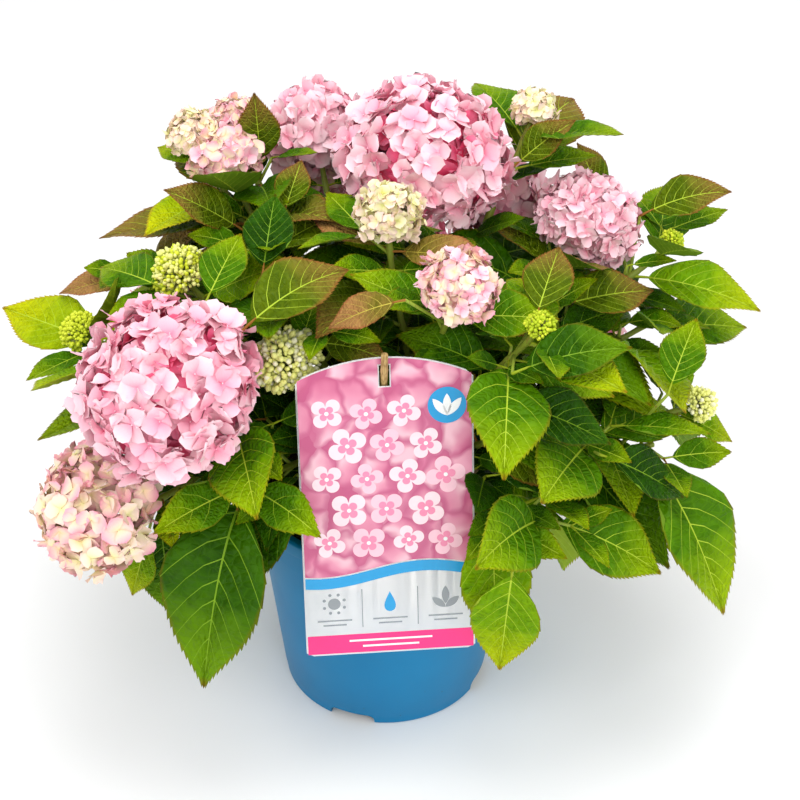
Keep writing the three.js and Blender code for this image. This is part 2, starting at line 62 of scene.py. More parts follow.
def linear(code):
    """The linear colour of an sRGB hex value."""
    parts = [int(code[i:i + 2], 16) / 255 for i in (1, 3, 5)]
    return tuple(c / 12.92 if c <= 0.04045 else ((c + 0.055) / 1.055) ** 2.4 for c in parts) + (1,)


def put(tree, kind, sockets=None, stops=(), **settings):
    """Adds a node with its settings. A socket is given a value or a hex colour, or follows another
    node or one of its outputs, and a colour ramp is given its stops."""
    made = tree.nodes.new("ShaderNode" + kind)
    for name, value in settings.items():
        setattr(made, name, value)
    for name, value in (sockets or {}).items():
        value = value.outputs[0] if isinstance(value, bpy.types.Node) else value
        if isinstance(value, bpy.types.NodeSocket):
            tree.links.new(value, made.inputs[name])
        else:
            made.inputs[name].default_value = linear(value) if isinstance(value, str) else value
    for _ in stops[2:]:
        made.color_ramp.elements.new(0.5)
    for (position, code), element in zip(stops, made.color_ramp.elements if stops else ()):
        element.position = position
        element.color = linear(code)
    return made


def new_material(name, map_name=None):
    """A new material, its empty tree, and where each point is: on the object, or on its map."""
    material = bpy.data.materials.new(name)
    material.use_nodes = True
    tree = material.node_tree
    tree.nodes.clear()
    if map_name:
        return material, tree, put(tree, "UVMap", uv_map=map_name).outputs[0]
    return material, tree, put(tree, "TexCoord").outputs["Object"]


def surfaced(material, sockets):
    """Closes a material with its surface."""
    shader = put(material.node_tree, "BsdfPrincipled", sockets)
    put(material.node_tree, "OutputMaterial", {"Surface": shader})
    return material


def settle(piece):
    """Makes a piece's modifiers part of its mesh."""
    graph = bpy.context.evaluated_depsgraph_get()
    whole = bpy.data.meshes.new_from_object(piece.evaluated_get(graph))
    piece.modifiers.clear()
    piece.data = whole


def place(name, bm, materials, smooth=None):
    """Puts a finished bmesh into the scene as a piece of the plant."""
    mesh = bpy.data.meshes.new(name)
    bm.to_mesh(mesh)
    bm.free()
    for material in materials:
        mesh.materials.append(material)
    if smooth is not None:
        mesh.shade_smooth()
        mesh.set_sharp_from_angle(angle=math.radians(smooth))
    piece = bpy.data.objects.new(name, mesh)
    bpy.context.collection.objects.link(piece)
    return piece


def revolved(profile, steps):
    """A closed body spun about Z from (radius, height) points that begin and end on the axis."""
    bm = bmesh.new()
    points = [bm.verts.new((radius, 0, height)) for radius, height in profile]
    edges = [bm.edges.new(pair) for pair in zip(points, points[1:])]
    bmesh.ops.spin(bm, geom=points + edges, cent=(0, 0, 0), axis=(0, 0, 1), angle=math.tau,
                   steps=steps, use_merge=True)
    bmesh.ops.remove_doubles(bm, verts=bm.verts, dist=1e-6)
    bmesh.ops.recalc_face_normals(bm, faces=bm.faces)
    return bm


def wall_radius(height):
    return FOOT_RADIUS + (MOUTH_RADIUS - FOOT_RADIUS) * height / POT_HEIGHT


def pot_body():
    collar = POT_HEIGHT - RIM_DEPTH
    profile = [
        (0, 0),
        (FOOT_RADIUS - 9 * MM, 0),
        (FOOT_RADIUS - 1.5 * MM, 0),
        (wall_radius(1.5 * MM), 1.5 * MM),
        (wall_radius(12 * MM), 12 * MM),
        (wall_radius(12 * MM) + 0.5 * MM, 12.8 * MM),
        (wall_radius(collar - 26 * MM), collar - 26 * MM),
        (wall_radius(collar - 26 * MM) + 0.9 * MM, collar - 25 * MM),
        (wall_radius(collar), collar),
        (RIM_RADIUS - 0.4 * MM, collar + 0.8 * MM),
        (RIM_RADIUS, collar + 2 * MM),
        (RIM_RADIUS, POT_HEIGHT - 2 * MM),
        (RIM_RADIUS - 2 * MM, POT_HEIGHT),
        (MOUTH_RADIUS - POT_WALL, POT_HEIGHT),
        (wall_radius(collar) - POT_WALL, collar - 3 * MM),
        (wall_radius(POT_FLOOR) - POT_WALL, POT_FLOOR),
        (0, POT_FLOOR),
    ]
    bm = revolved(profile, 128)
    rim = [edge for edge in bm.edges if all(v.co.z > POT_HEIGHT - 2.5 * MM for v in edge.verts)
           and abs(edge.verts[0].co.z - edge.verts[1].co.z) < 1e-6
           and abs(edge.verts[0].co.xy.length - edge.verts[1].co.xy.length) < 1e-6]
    bmesh.ops.bevel(bm, geom=rim, offset=0.9 * MM, segments=3, affect="EDGES", profile=0.5,
                    material=-1)
    return bm


def slot_cutter(bearing):
    """The block that an arched drain slot is the print of."""
    bm = bmesh.new()
    bmesh.ops.create_cube(bm, size=1)
    bmesh.ops.scale(bm, vec=(SLOT_WIDTH, SLOT_DEPTH, 2 * SLOT_HEIGHT), verts=bm.verts)
    shoulders = [edge for edge in bm.edges if all(v.co.z > 0 for v in edge.verts)
                 and abs(edge.verts[0].co.x - edge.verts[1].co.x) < 1e-6]
    bmesh.ops.bevel(bm, geom=shoulders, offset=0.62 * SLOT_HEIGHT, segments=6, affect="EDGES",
                    profile=0.5, material=-1)
    bmesh.ops.translate(bm, vec=(0, -(FOOT_RADIUS + 6 * MM - SLOT_DEPTH / 2), 0), verts=bm.verts)
    bmesh.ops.rotate(bm, matrix=Matrix.Rotation(math.radians(bearing), 3, "Z"), verts=bm.verts)
    return place("slot_cutter", bm, [])


def moulded_polypropylene():
    """Moulded polypropylene has a fine spark-eroded grain, so its highlights are broad and soft."""
    material, tree, where = new_material("moulded_polypropylene")
    cloud = put(tree, "TexNoise", {"Vector": where, "Scale": 14, "Detail": 3})
    colour = put(tree, "Mix", {0: cloud, 6: "#026C9E", 7: "#0880B2"}, data_type="RGBA")
    splash = put(tree, "TexNoise", {"Vector": where, "Scale": 240, "Detail": 2})
    specks = put(tree, "MapRange", {"Value": splash, "From Min": 0.71, "From Max": 0.78})
    low = put(tree, "SeparateXYZ", {"Vector": where})
    foot = put(tree, "MapRange", {"Value": low.outputs["Z"], "From Min": 0.07, "From Max": 0.0})
    dirt = put(tree, "Math", {0: specks, 1: foot}, operation="MULTIPLY")
    dirty = put(tree, "Mix", {0: dirt, 6: colour.outputs[2], 7: "#3A3F3C"}, data_type="RGBA")
    grain = put(tree, "TexNoise", {"Vector": where, "Scale": 900, "Detail": 1})
    relief = put(tree, "Bump", {"Height": grain, "Strength": 0.12, "Distance": 0.0004})
    return surfaced(material, {"Base Color": dirty.outputs[2], "Roughness": 0.42, "IOR": 1.49,
                               "Specular IOR Level": 0.22, "Normal": relief})


pot = place("nursery_pot", pot_body(), [moulded_polypropylene()])
for number in range(SLOT_COUNT):
    cutter = slot_cutter(SLOT_BEARING + 360 / SLOT_COUNT * number)
    cut = pot.modifiers.new("drain_slot", "BOOLEAN")
    cut.operation = "DIFFERENCE"
    cut.solver = "EXACT"
    cut.object = cutter
    settle(pot)
    bpy.data.objects.remove(cutter)
pot.data.shade_smooth()
pot.data.set_sharp_from_angle(angle=math.radians(35))
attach(pot, "root")
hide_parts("pot")

# --------------------------------------------------------------------------------------- compost
# Moist peat-free compost of bark fines and coir, filled to 21 mm under the rim. Loose crumbs and
# flakes of bark lie on it.

COMPOST_TOP = 184 * MM
COMPOST_RINGS = 12
CRUMBS = 1500
CRUMB_REACH = 103
CRUMB_SIZES = (1.2, 4.2)


def compost_body():
    gap = POT_WALL + 0.7 * MM
    outer = wall_radius(COMPOST_TOP) - gap
    profile = [(0, POT_FLOOR + 0.3 * MM), (FOOT_RADIUS - SLOT_DEPTH + 3 * MM, POT_FLOOR + 0.3 * MM),
               (wall_radius(12 * MM) - gap, 16 * MM), (outer, COMPOST_TOP - 3 * MM)]
    profile += [(outer * (1 - step / COMPOST_RINGS), COMPOST_TOP)
                for step in range(COMPOST_RINGS + 1)]
    bm = revolved(profile, 72)
    for vert in bm.verts:
        if vert.co.z >= COMPOST_TOP - 1e-6 and vert.co.xy.length < outer - 1 * MM:
            lumps = noise.fractal(vert.co * 60, 0.8, 2.0, 3)
            vert.co.z += (1.6 * lumps - 0.8) * MM
    return bm


def compost_material():
    """Damp compost is dark and rough, with paler threads of coir in it."""
    material, tree, where = new_material("damp_compost")
    lumps = put(tree, "TexNoise", {"Vector": where, "Scale": 190, "Detail": 4})
    colour = put(tree, "ValToRGB", {"Fac": lumps}, ((0.35, "#160D08"), (0.72, "#4A3322")))
    relief = put(tree, "Bump", {"Height": lumps, "Strength": 0.8, "Distance": 0.003})
    return surfaced(material, {"Base Color": colour, "Roughness": 0.9, "Normal": relief})


def bark_flake(name, dark, light):
    """A shred of composted bark, its grain running in dark and light streaks."""
    material, tree, where = new_material(name)
    grain = put(tree, "TexNoise", {"Vector": where, "Scale": 420, "Detail": 2})
    colour = put(tree, "ValToRGB", {"Fac": grain}, ((0.4, dark), (0.65, light)))
    return surfaced(material, {"Base Color": colour, "Roughness": 0.85})


def prototype(bm):
    """A bmesh as arrays: its points, and its faces, which are all triangles."""
    bmesh.ops.triangulate(bm, faces=bm.faces)
    bm.verts.index_update()
    points = np.array([v.co for v in bm.verts])
    faces = np.array([[v.index for v in face.verts] for face in bm.faces])
    bm.free()
    return points, faces


def joined(name, parts, materials, map_name=None, sharp=None):
    """One mesh of many small parts. A part is its points in millimetres and its skins: the faces,
    all with the same number of corners, their material slots and their corners' map places."""
    points = np.concatenate([part[0] for part in parts])
    corners, sizes, slots, places = [], [], [], []
    start = 0
    for own_points, skins in parts:
        for faces, slot, where in skins:
            corners.append((faces + start).ravel())
            sizes.append(np.full(len(faces), faces.shape[1]))
            slots.append(np.broadcast_to(slot, len(faces)))
            if map_name:
                places.append(where.reshape(-1, 2))
        start += len(own_points)
    corners, sizes, slots = (np.concatenate(x).astype(np.int32) for x in (corners, sizes, slots))
    mesh = bpy.data.meshes.new(name)
    mesh.vertices.add(len(points))
    mesh.vertices.foreach_set("co", (points * MM).astype(np.float32).ravel())
    mesh.loops.add(len(corners))
    mesh.loops.foreach_set("vertex_index", corners)
    mesh.polygons.add(len(sizes))
    mesh.polygons.foreach_set("loop_start", (np.cumsum(sizes) - sizes).astype(np.int32))
    for material in materials:
        mesh.materials.append(material)
    mesh.polygons.foreach_set("material_index", slots)
    mesh.update(calc_edges=True)
    if map_name:
        mesh.uv_layers.new(name=map_name)
        mesh.uv_layers[map_name].uv.foreach_set(
            "vector", np.concatenate(places).astype(np.float32).ravel())
    mesh.shade_smooth()
    if sharp is not None:
        mesh.set_sharp_from_angle(angle=math.radians(sharp))
    piece = bpy.data.objects.new(name, mesh)
    bpy.context.collection.objects.link(piece)
    return piece


def turned(draw):
    """A random turn about all three axes."""
    a, b, c = (Matrix.Rotation(math.tau * draw.random(), 3, axis) for axis in "XYZ")
    return np.array(a @ b @ c)


def crumb_parts():
    bm = bmesh.new()
    bmesh.ops.create_icosphere(bm, subdivisions=1, radius=0.5)
    lump, faces = prototype(bm)
    draw = np.random.default_rng(41)
    parts = []
    for _ in range(CRUMBS):
        size = CRUMB_SIZES[0] + (CRUMB_SIZES[1] - CRUMB_SIZES[0]) * draw.random() ** 3
        shape = lump * size * np.array([1, 0.75, 0.45]) * (0.8 + 0.4 * draw.random((len(lump), 1)))
        reach = CRUMB_REACH * math.sqrt(draw.random())
        bearing = math.tau * draw.random()
        height = COMPOST_TOP / MM + 0.3 + 0.8 * draw.random()
        middle = [reach * math.cos(bearing), reach * math.sin(bearing), height]
        parts.append((shape @ turned(draw).T + middle, [(faces, draw.integers(3), None)]))
    return parts


compost = place("compost_fill", compost_body(), [compost_material()], smooth=60)
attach(compost, "root")
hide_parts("compost")

crumbs = joined("bark_crumbs", crumb_parts(), [
    bark_flake("composted_bark_dark", "#1C110A", "#3A2618"),
    bark_flake("composted_bark_brown", "#3B2415", "#5E4029"),
    bark_flake("coir_shred", "#6A4A2C", "#8F6C45")])
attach(crumbs, "root")

# ----------------------------------------------------------------------------- label and its stake
# The care label is a large card of glossy printed polypropylene with an arched top and a hanging
# slot. It leans on the rim, and a split bamboo stake in the compost comes up through its slot.

LABEL_WIDTH = 136
LABEL_SIDE = 238
LABEL_ARCH = 16
LABEL_THICKNESS = 1.2
LABEL_LEAN = 14
LABEL_TURN = 5
LABEL_OFFSET = 6
LABEL_LOWEST = 130
LABEL_SLOT_DROP = 7
LABEL_SLOT = (8, 17)
LABEL_CORNER = 3
PRINT_MARGIN = 1.4
INK = 0.12
FLOWER_RADIUS = 14.5
FLOWER_GAP = 30.5
STAKE_RADIUS = 3.2
STAKE_FOOT_REACH = 62
STAKE_OVERSHOOT = 23
STAKE_SIDES = 14
STAKE_STEPS = 40
STAKE_JOINTS = (9, 21, 33)
CLEARANCE = 0.3


def label_frame():
    """X across the label, Z up its face and -Y out of its front, in millimetres."""
    lean = math.radians(LABEL_LEAN)
    rim = RIM_RADIUS / MM
    rest = -(rim + CLEARANCE) - LABEL_THICKNESS / 2 / math.cos(lean) - 0.4
    drop = POT_HEIGHT / MM - 2 - LABEL_LOWEST
    turn = Matrix.Rotation(math.radians(LABEL_TURN), 4, "Z") @ Matrix.Rotation(-lean, 4, "X")
    return Matrix.Translation((LABEL_OFFSET, rest - drop * math.tan(lean), LABEL_LOWEST)) @ turn


def arch_height(x, half, side, arch):
    """The height of the arched top at this distance from the middle."""
    return side + arch * (1 - (x / half) ** 2)


def card_body():
    """The card lying in its own frame: a strip of faces with the slot left open, then thickened."""
    half = LABEL_WIDTH / 2
    slot_half = LABEL_SLOT[0] / 2
    slot_low = LABEL_SIDE + LABEL_ARCH - LABEL_SLOT_DROP - LABEL_SLOT[1]
    xs = sorted({*np.linspace(-half, -slot_half, 12), -slot_half / 2, 0, slot_half / 2,
                 *np.linspace(slot_half, half, 12)})
    bm = bmesh.new()
    rows = []
    for x in xs:
        top = arch_height(x, half, LABEL_SIDE, LABEL_ARCH)
        inset = LABEL_CORNER if abs(x) == half else 0
        beside = (top - inset - slot_low) * LABEL_SLOT[1] / (LABEL_SLOT[1] + LABEL_SLOT_DROP)
        heights = (inset, slot_low, slot_low + beside, top - inset)
        rows.append([bm.verts.new((x, 0, z)) for z in heights])
    for left, right in zip(rows, rows[1:]):
        middle = (left[0].co.x + right[0].co.x) / 2
        for low in range(3):
            if low == 1 and abs(middle) < slot_half:
                continue
            bm.faces.new((left[low], right[low], right[low + 1], left[low + 1]))
    bmesh.ops.solidify(bm, geom=bm.faces, thickness=LABEL_THICKNESS)
    bmesh.ops.recalc_face_normals(bm, faces=bm.faces)
    low = min(v.co.y for v in bm.verts)
    bmesh.ops.translate(bm, vec=(0, -low - LABEL_THICKNESS / 2, 0), verts=bm.verts)
    return bm


def inked(bm, outline, slot, coat=0):
    """A printed area: a thin layer of ink in this outline, on the front of the card. An area that
    lies over another is printed in a later coat."""
    front = -LABEL_THICKNESS / 2 - 0.02 - 1.2 * INK * coat
    face = bm.faces.new([bm.verts.new((x, front, z)) for x, z in outline])
    face.normal_update()
    if face.normal.y > 0:
        face.normal_flip()
    made = bmesh.ops.extrude_face_region(bm, geom=[face])
    raised = [item for item in made["geom"] if isinstance(item, bmesh.types.BMVert)]
    bmesh.ops.translate(bm, vec=(0, -INK, 0), verts=raised)
    for f in {f for v in raised for f in v.link_faces} | {face}:
        if f.is_valid:
            f.material_index = slot


def round_outline(x, z, width, height, sides=20, turn=0.0):
    """An ellipse's outline, or a polygon's where it has few sides."""
    angles = [turn + math.tau * k / sides for k in range(sides)]
    return [(x + width / 2 * math.cos(a), z + height / 2 * math.sin(a)) for a in angles]


def bar_outline(x0, x1, z0, z1):
    return [(x0, z0), (x1, z0), (x1, z1), (x0, z1)]


def leaf_outline(x, z, length, width, lean):
    """A pointed leaf that stands on its base at this place and leans over by this angle."""
    sides = []
    for side in (-1, 1):
        row = [(side * width / 2 * math.sin(math.pi * k / 10) ** 0.8, length * k / 10)
               for k in range(11)]
        sides += row[1:] if side < 0 else row[-2::-1]
    turn = math.radians(lean)
    return [(x + a * math.cos(turn) + b * math.sin(turn),
             z - a * math.sin(turn) + b * math.cos(turn)) for a, b in sides]


def flower_outline(x, z, radius, turn):
    """A flower of four round petals, drawn in one line."""
    angles = [math.tau * k / 56 for k in range(56)]
    reach = [radius * (0.42 + 0.58 * abs(math.cos(2 * a)) ** 0.55) for a in angles]
    return [(x + r * math.cos(a + turn), z + r * math.sin(a + turn)) for a,
            r in zip(angles, reach)]


def print_body():
    """The label's print: flowers on a field of petals over a wave, a roundel, three care signs and
    a band."""
    half = LABEL_WIDTH / 2 - PRINT_MARGIN
    slot_half = LABEL_SLOT[0] / 2 + 1
    slot_top = LABEL_SIDE + LABEL_ARCH - LABEL_SLOT_DROP + 1
    slot_low = slot_top - LABEL_SLOT[1] - 2
    field_low = 76
    bm = bmesh.new()

    def wave(x):
        return field_low + 6 * math.sin(x / half * 2.6 + 0.5)

    def crest(x):
        return arch_height(x, LABEL_WIDTH / 2, LABEL_SIDE, LABEL_ARCH) - PRINT_MARGIN

    for side in (-1, 1):
        edge = [side * x for x in np.linspace(slot_half, half, 14)]
        inked(bm, [(x, crest(x)) for x in edge] + [(x, wave(x)) for x in reversed(edge)], 0)
    middle = np.linspace(-slot_half, slot_half, 4)
    inked(bm, [(x, slot_low) for x in middle] + [(x, wave(x)) for x in reversed(middle)], 0)
    inked(bm, [(x, crest(x)) for x in middle] + [(x, slot_top) for x in reversed(middle)], 0)
    inked(bm, [(x, wave(x) - 1.2) for x in np.linspace(-half, half, 24)]
          + [(x, wave(x) - 10.5) for x in np.linspace(half, -half, 24)], 1)
    inked(bm, bar_outline(-half, half, PRINT_MARGIN, 18), 2)
    for z, share in ((12.2, 0.5), (7.0, 0.34)):
        inked(bm, bar_outline(-half * share, half * share, z - 0.8, z + 0.8), 4, 1)
    roundel = (half - 19, 212)
    inked(bm, round_outline(*roundel, 30, 30, 36), 1, 1)
    for lean in (-38, 0, 38):
        inked(bm, leaf_outline(roundel[0], roundel[1] - 8.5, 18, 6.5, lean), 4, 2)

    draw = np.random.default_rng(12)
    for row in range(6):
        for column in range(4 + row % 2):
            x = (column - 1.5 - 0.5 * (row % 2)) * FLOWER_GAP + 2 * (draw.random() - 0.5)
            z = 99 + row * 0.9 * FLOWER_GAP + 2 * (draw.random() - 0.5)
            radius, turn = FLOWER_RADIUS * (0.85 + 0.25 * draw.random()), math.tau * draw.random()
            if (abs(x) > half - radius or z > crest(x) - radius - 1 or z < wave(x) + radius + 1
                    or math.hypot(x - roundel[0], z - roundel[1]) < radius + 17
                    or abs(x) < slot_half + radius and z > slot_low - radius):
                continue
            inked(bm, flower_outline(x, z, radius, turn), 5 + (row + column) % 2, 1)
            inked(bm, flower_outline(x, z, 0.5 * radius, turn), 7, 2)
            inked(bm, round_outline(x, z, 3.4, 3.4, 12), 4, 3)

    third = half * 2 / 3
    for x in (-half / 3, half / 3):
        inked(bm, bar_outline(x - 0.35, x + 0.35, 24, 58), 3)
    inked(bm, round_outline(-third, 46, 10, 10), 3)
    for ray in range(8):
        a = math.tau * (ray + 0.5) / 8
        inked(bm, round_outline(-third + 8.6 * math.cos(a), 46 + 8.6 * math.sin(a), 2.6, 2.6, 10),
              3)
    inked(bm, [(-6.5 * math.sin(a) * math.sin(a / 2) ** 1.5, 46 + 9 * math.cos(a))
               for a in np.linspace(0.02, math.tau - 0.02, 24)], 1)
    for lean in (-50, 50):
        inked(bm, leaf_outline(third, 38, 14, 6, lean), 3)
    inked(bm, leaf_outline(third, 41, 16, 6, 0), 3, 1)
    for x in (-third, 0, third):
        for z, share in ((31, 0.62), (27, 0.42)):
            inked(bm, bar_outline(x - half / 3 * share, x + half / 3 * share, z - 0.6, z + 0.6), 3)
    return bm


def printed_card():
    """Uncoated edges and back of white polypropylene sheet, satin and slightly cloudy."""
    material, tree, where = new_material("white_polypropylene_card")
    cloud = put(tree, "TexNoise", {"Vector": where, "Scale": 30, "Detail": 2})
    shade = put(tree, "MapRange", {"Value": cloud, "To Min": 0.97, "To Max": 1.0})
    tone = put(tree, "CombineColor", {"Red": shade, "Green": shade, "Blue": shade})
    return surfaced(material, {"Base Color": tone, "Roughness": 0.32, "IOR": 1.49})


def petal_field_ink():
    """Printed ink under a gloss varnish: a close field of petals about 22 mm across, each shaded
    from one side to the other and deeper where it meets the next."""
    material, tree, where = new_material("varnished_ink_petal_field")
    flat = put(tree, "Mapping", {"Vector": where, "Scale": (1, 0.01, 1)})
    ruffle = put(tree, "TexNoise", {"Vector": flat, "Scale": 70, "Detail": 1})
    pushed = put(tree, "VectorMath", {0: ruffle.outputs["Color"], 1: (0.014, 0.0, 0.014), 2: flat},
                 operation="MULTIPLY_ADD")
    cells = put(tree, "TexVoronoi", {"Vector": pushed, "Scale": 46, "Randomness": 0.9})
    rims = put(tree, "TexVoronoi", {"Vector": pushed, "Scale": 46, "Randomness": 0.9},
               feature="DISTANCE_TO_EDGE")
    inside = put(tree, "VectorMath", {0: pushed, 1: cells.outputs["Position"]},
                 operation="SUBTRACT")
    facing_way = put(tree, "VectorMath", {0: cells.outputs["Color"], 1: (0.5, 0.5, 0.5)},
                     operation="SUBTRACT")
    slope = put(tree, "VectorMath", {0: inside, 1: facing_way}, operation="DOT_PRODUCT")
    shade = put(tree, "MapRange", {"Value": slope.outputs["Value"], "From Min": -0.005,
                                   "From Max": 0.004})
    petal = put(tree, "ValToRGB", {"Fac": shade}, ((0.0, "#C05880"), (0.35, "#D47597"),
                                                   (0.7, "#E294AE"), (1.0, "#F0BDCB")))
    rim = put(tree, "MapRange", {"Value": rims.outputs["Distance"], "From Min": 0.2,
                                 "From Max": 0.0, "To Max": 0.8}, interpolation_type="SMOOTHSTEP")
    both = put(tree, "Mix", {0: rim, 6: petal, 7: "#BE5580"}, data_type="RGBA")
    return surfaced(material, {"Base Color": both.outputs[2], "Roughness": 0.24, "IOR": 1.5})


def plain_ink(name, code):
    """Printed ink under a gloss varnish, with the faint mottle of the press."""
    material, tree, where = new_material(name)
    mottle = put(tree, "TexNoise", {"Vector": where, "Scale": 260, "Detail": 2})
    shade = put(tree, "MapRange", {"Value": mottle, "To Min": 0.93, "To Max": 1.04})
    tone = put(tree, "HueSaturation", {"Value": shade, "Color": code})
    return surfaced(material, {"Base Color": tone, "Roughness": 0.24, "IOR": 1.5})


def stake_curve():
    """The points that the stake follows, from the compost to its tip beyond the slot."""
    to_card = label_frame()
    middle = LABEL_SIDE + LABEL_ARCH - LABEL_SLOT_DROP - LABEL_SLOT[1] / 2
    through = to_card @ Vector((0, 0, middle))
    outward = (to_card.to_3x3() @ Vector((0, -0.5, 1))).normalized()
    bearing = math.radians(4)
    foot = Vector((STAKE_FOOT_REACH * math.sin(bearing), -STAKE_FOOT_REACH * math.cos(bearing),
                   COMPOST_TOP / MM + CLEARANCE))
    behind = through - 24 * outward
    tip = through + STAKE_OVERSHOOT * outward
    return [foot, foot + Vector((0, 0, 40)), behind + Vector((0, 4, -50)), behind, through, tip]


def limb(points, radii, sides):
    """A round limb along points: its points, its walls of four corners and its ends of three."""
    points, radii = np.asarray(points, float), np.asarray(radii, float)
    along = np.gradient(points, axis=0)
    along /= np.linalg.norm(along, axis=1)[:, None]
    normal = np.cross(along[0], [0.3, 0.9, 0.2])
    rings = []
    for spot, way, radius in zip(points, along, radii):
        normal = normal - way * (normal @ way)
        normal /= np.linalg.norm(normal)
        other = np.cross(way, normal)
        angles = math.tau * np.arange(sides) / sides
        rings.append(spot + np.broadcast_to(radius, sides)[:, None]
                     * (np.cos(angles)[:, None] * normal + np.sin(angles)[:, None] * other))
    count = len(rings)
    tips = [points[0] - along[0] * np.mean(radii[0]) * 0.4,
            points[-1] + along[-1] * np.mean(radii[-1]) * 0.5]
    k = np.arange(sides)
    after = (k + 1) % sides
    walls = np.concatenate([np.stack([k, after, after + sides, k + sides], 1) + sides * row
                            for row in range(count - 1)])
    last, tip = sides * (count - 1), sides * count
    ends = np.concatenate([np.stack([after, k, np.full(sides, tip)], 1),
                           np.stack([k + last, after + last, np.full(sides, tip + 1)], 1)])
    return np.concatenate(rings + [tips]), walls, ends


def limb_part(points, radii, sides, slot=0):
    """A limb as one part of a joined mesh, all in one material slot."""
    points, walls, ends = limb(points, radii, sides)
    return points, [(walls, slot, None), (ends, slot, None)]


def bamboo():
    """Split bamboo, sanded: straw-coloured, with darker fibres along it."""
    material, tree, where = new_material("split_bamboo")
    long = put(tree, "Mapping", {"Vector": where, "Scale": (1, 1, 0.06)})
    fibre = put(tree, "TexNoise", {"Vector": long, "Scale": 700, "Detail": 3})
    colour = put(tree, "ValToRGB", {"Fac": fibre}, ((0.35, "#8E6A34"), (0.66, "#CDAE72")))
    relief = put(tree, "Bump", {"Height": fibre, "Strength": 0.4, "Distance": 0.0006})
    return surfaced(material, {"Base Color": colour, "Roughness": 0.6, "Normal": relief})


def through(points, count):
    """Evenly spread points on a smooth line through these."""
    points = np.array(points, float)
    slopes = np.gradient(points, axis=0)
    made = []
    for t in np.linspace(0, len(points) - 1, count):
        k = min(int(t), len(points) - 2)
        s = t - k
        made.append((2 * s ** 3 - 3 * s ** 2 + 1) * points[k]
                    + (s ** 3 - 2 * s ** 2 + s) * slopes[k]
                    + (3 * s ** 2 - 2 * s ** 3) * points[k + 1]
                    + (s ** 3 - s ** 2) * slopes[k + 1])
    return np.array(made)


to_card = Matrix.Scale(MM, 4) @ label_frame()
card = card_body()
bmesh.ops.transform(card, matrix=to_card, verts=card.verts)
card = place("care_label_card", card, [printed_card()])
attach(card, "root")
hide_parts("plant_label")

ink = print_body()
bmesh.ops.transform(ink, matrix=to_card, verts=ink.verts)
ink = place("care_label_print", ink, [
    petal_field_ink(), plain_ink("varnished_ink_blue", "#1E9BD7"),
    plain_ink("varnished_ink_magenta", "#F02E80"), plain_ink("varnished_ink_grey", "#8E9499"),
    plain_ink("varnished_ink_white", "#F4F6F6"), plain_ink("varnished_ink_blush", "#FBDDE6"),
    plain_ink("varnished_ink_pink", "#F9C6D6"), plain_ink("varnished_ink_rose", "#F08DB0")])
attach(ink, "root")

stake_line = through(stake_curve(), STAKE_STEPS)
stake_taper = STAKE_RADIUS * (1 - 0.15 * np.linspace(0, 1, STAKE_STEPS))
for joint in STAKE_JOINTS:
    stake_taper[joint] *= 1.14
stake = joined("bamboo_stake", [limb_part(stake_line, stake_taper, STAKE_SIDES)], [bamboo()])
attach(stake, "root")
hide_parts("label_stake")

# ----------------------------------------------------------------------------------------- canes
# Eighteen woody canes rise from the compost. Each is one tapering limb in fawn peeling bark, with
# swollen joints where leaves once sat, and ends where its green shoots branch off.

CANE_FOOT_RADIUS = 6.2
CANE_TIP_RADIUS = 3.9
CANE_FLARE = 1.5
CANE_SIDES = 18
CANE_STEPS = 40
BARK_RELIEF = 0.5
FOCUS_HEIGHT = 150


def shoot(bearing, reach, height, pairs, leaf, turn, bloom="tip", radius=6, first=0.66, hang=1,
          rise=0, tints="lfmmd"):
    """One shoot: where its bloom is, its leaves, and the tint of each pair from the top down."""
    return dict(bearing=bearing, reach=reach, height=height, pairs=pairs, leaf=leaf, turn=turn,
                bloom=bloom, radius=radius, first=first, hang=hang, rise=rise, tints=tints)


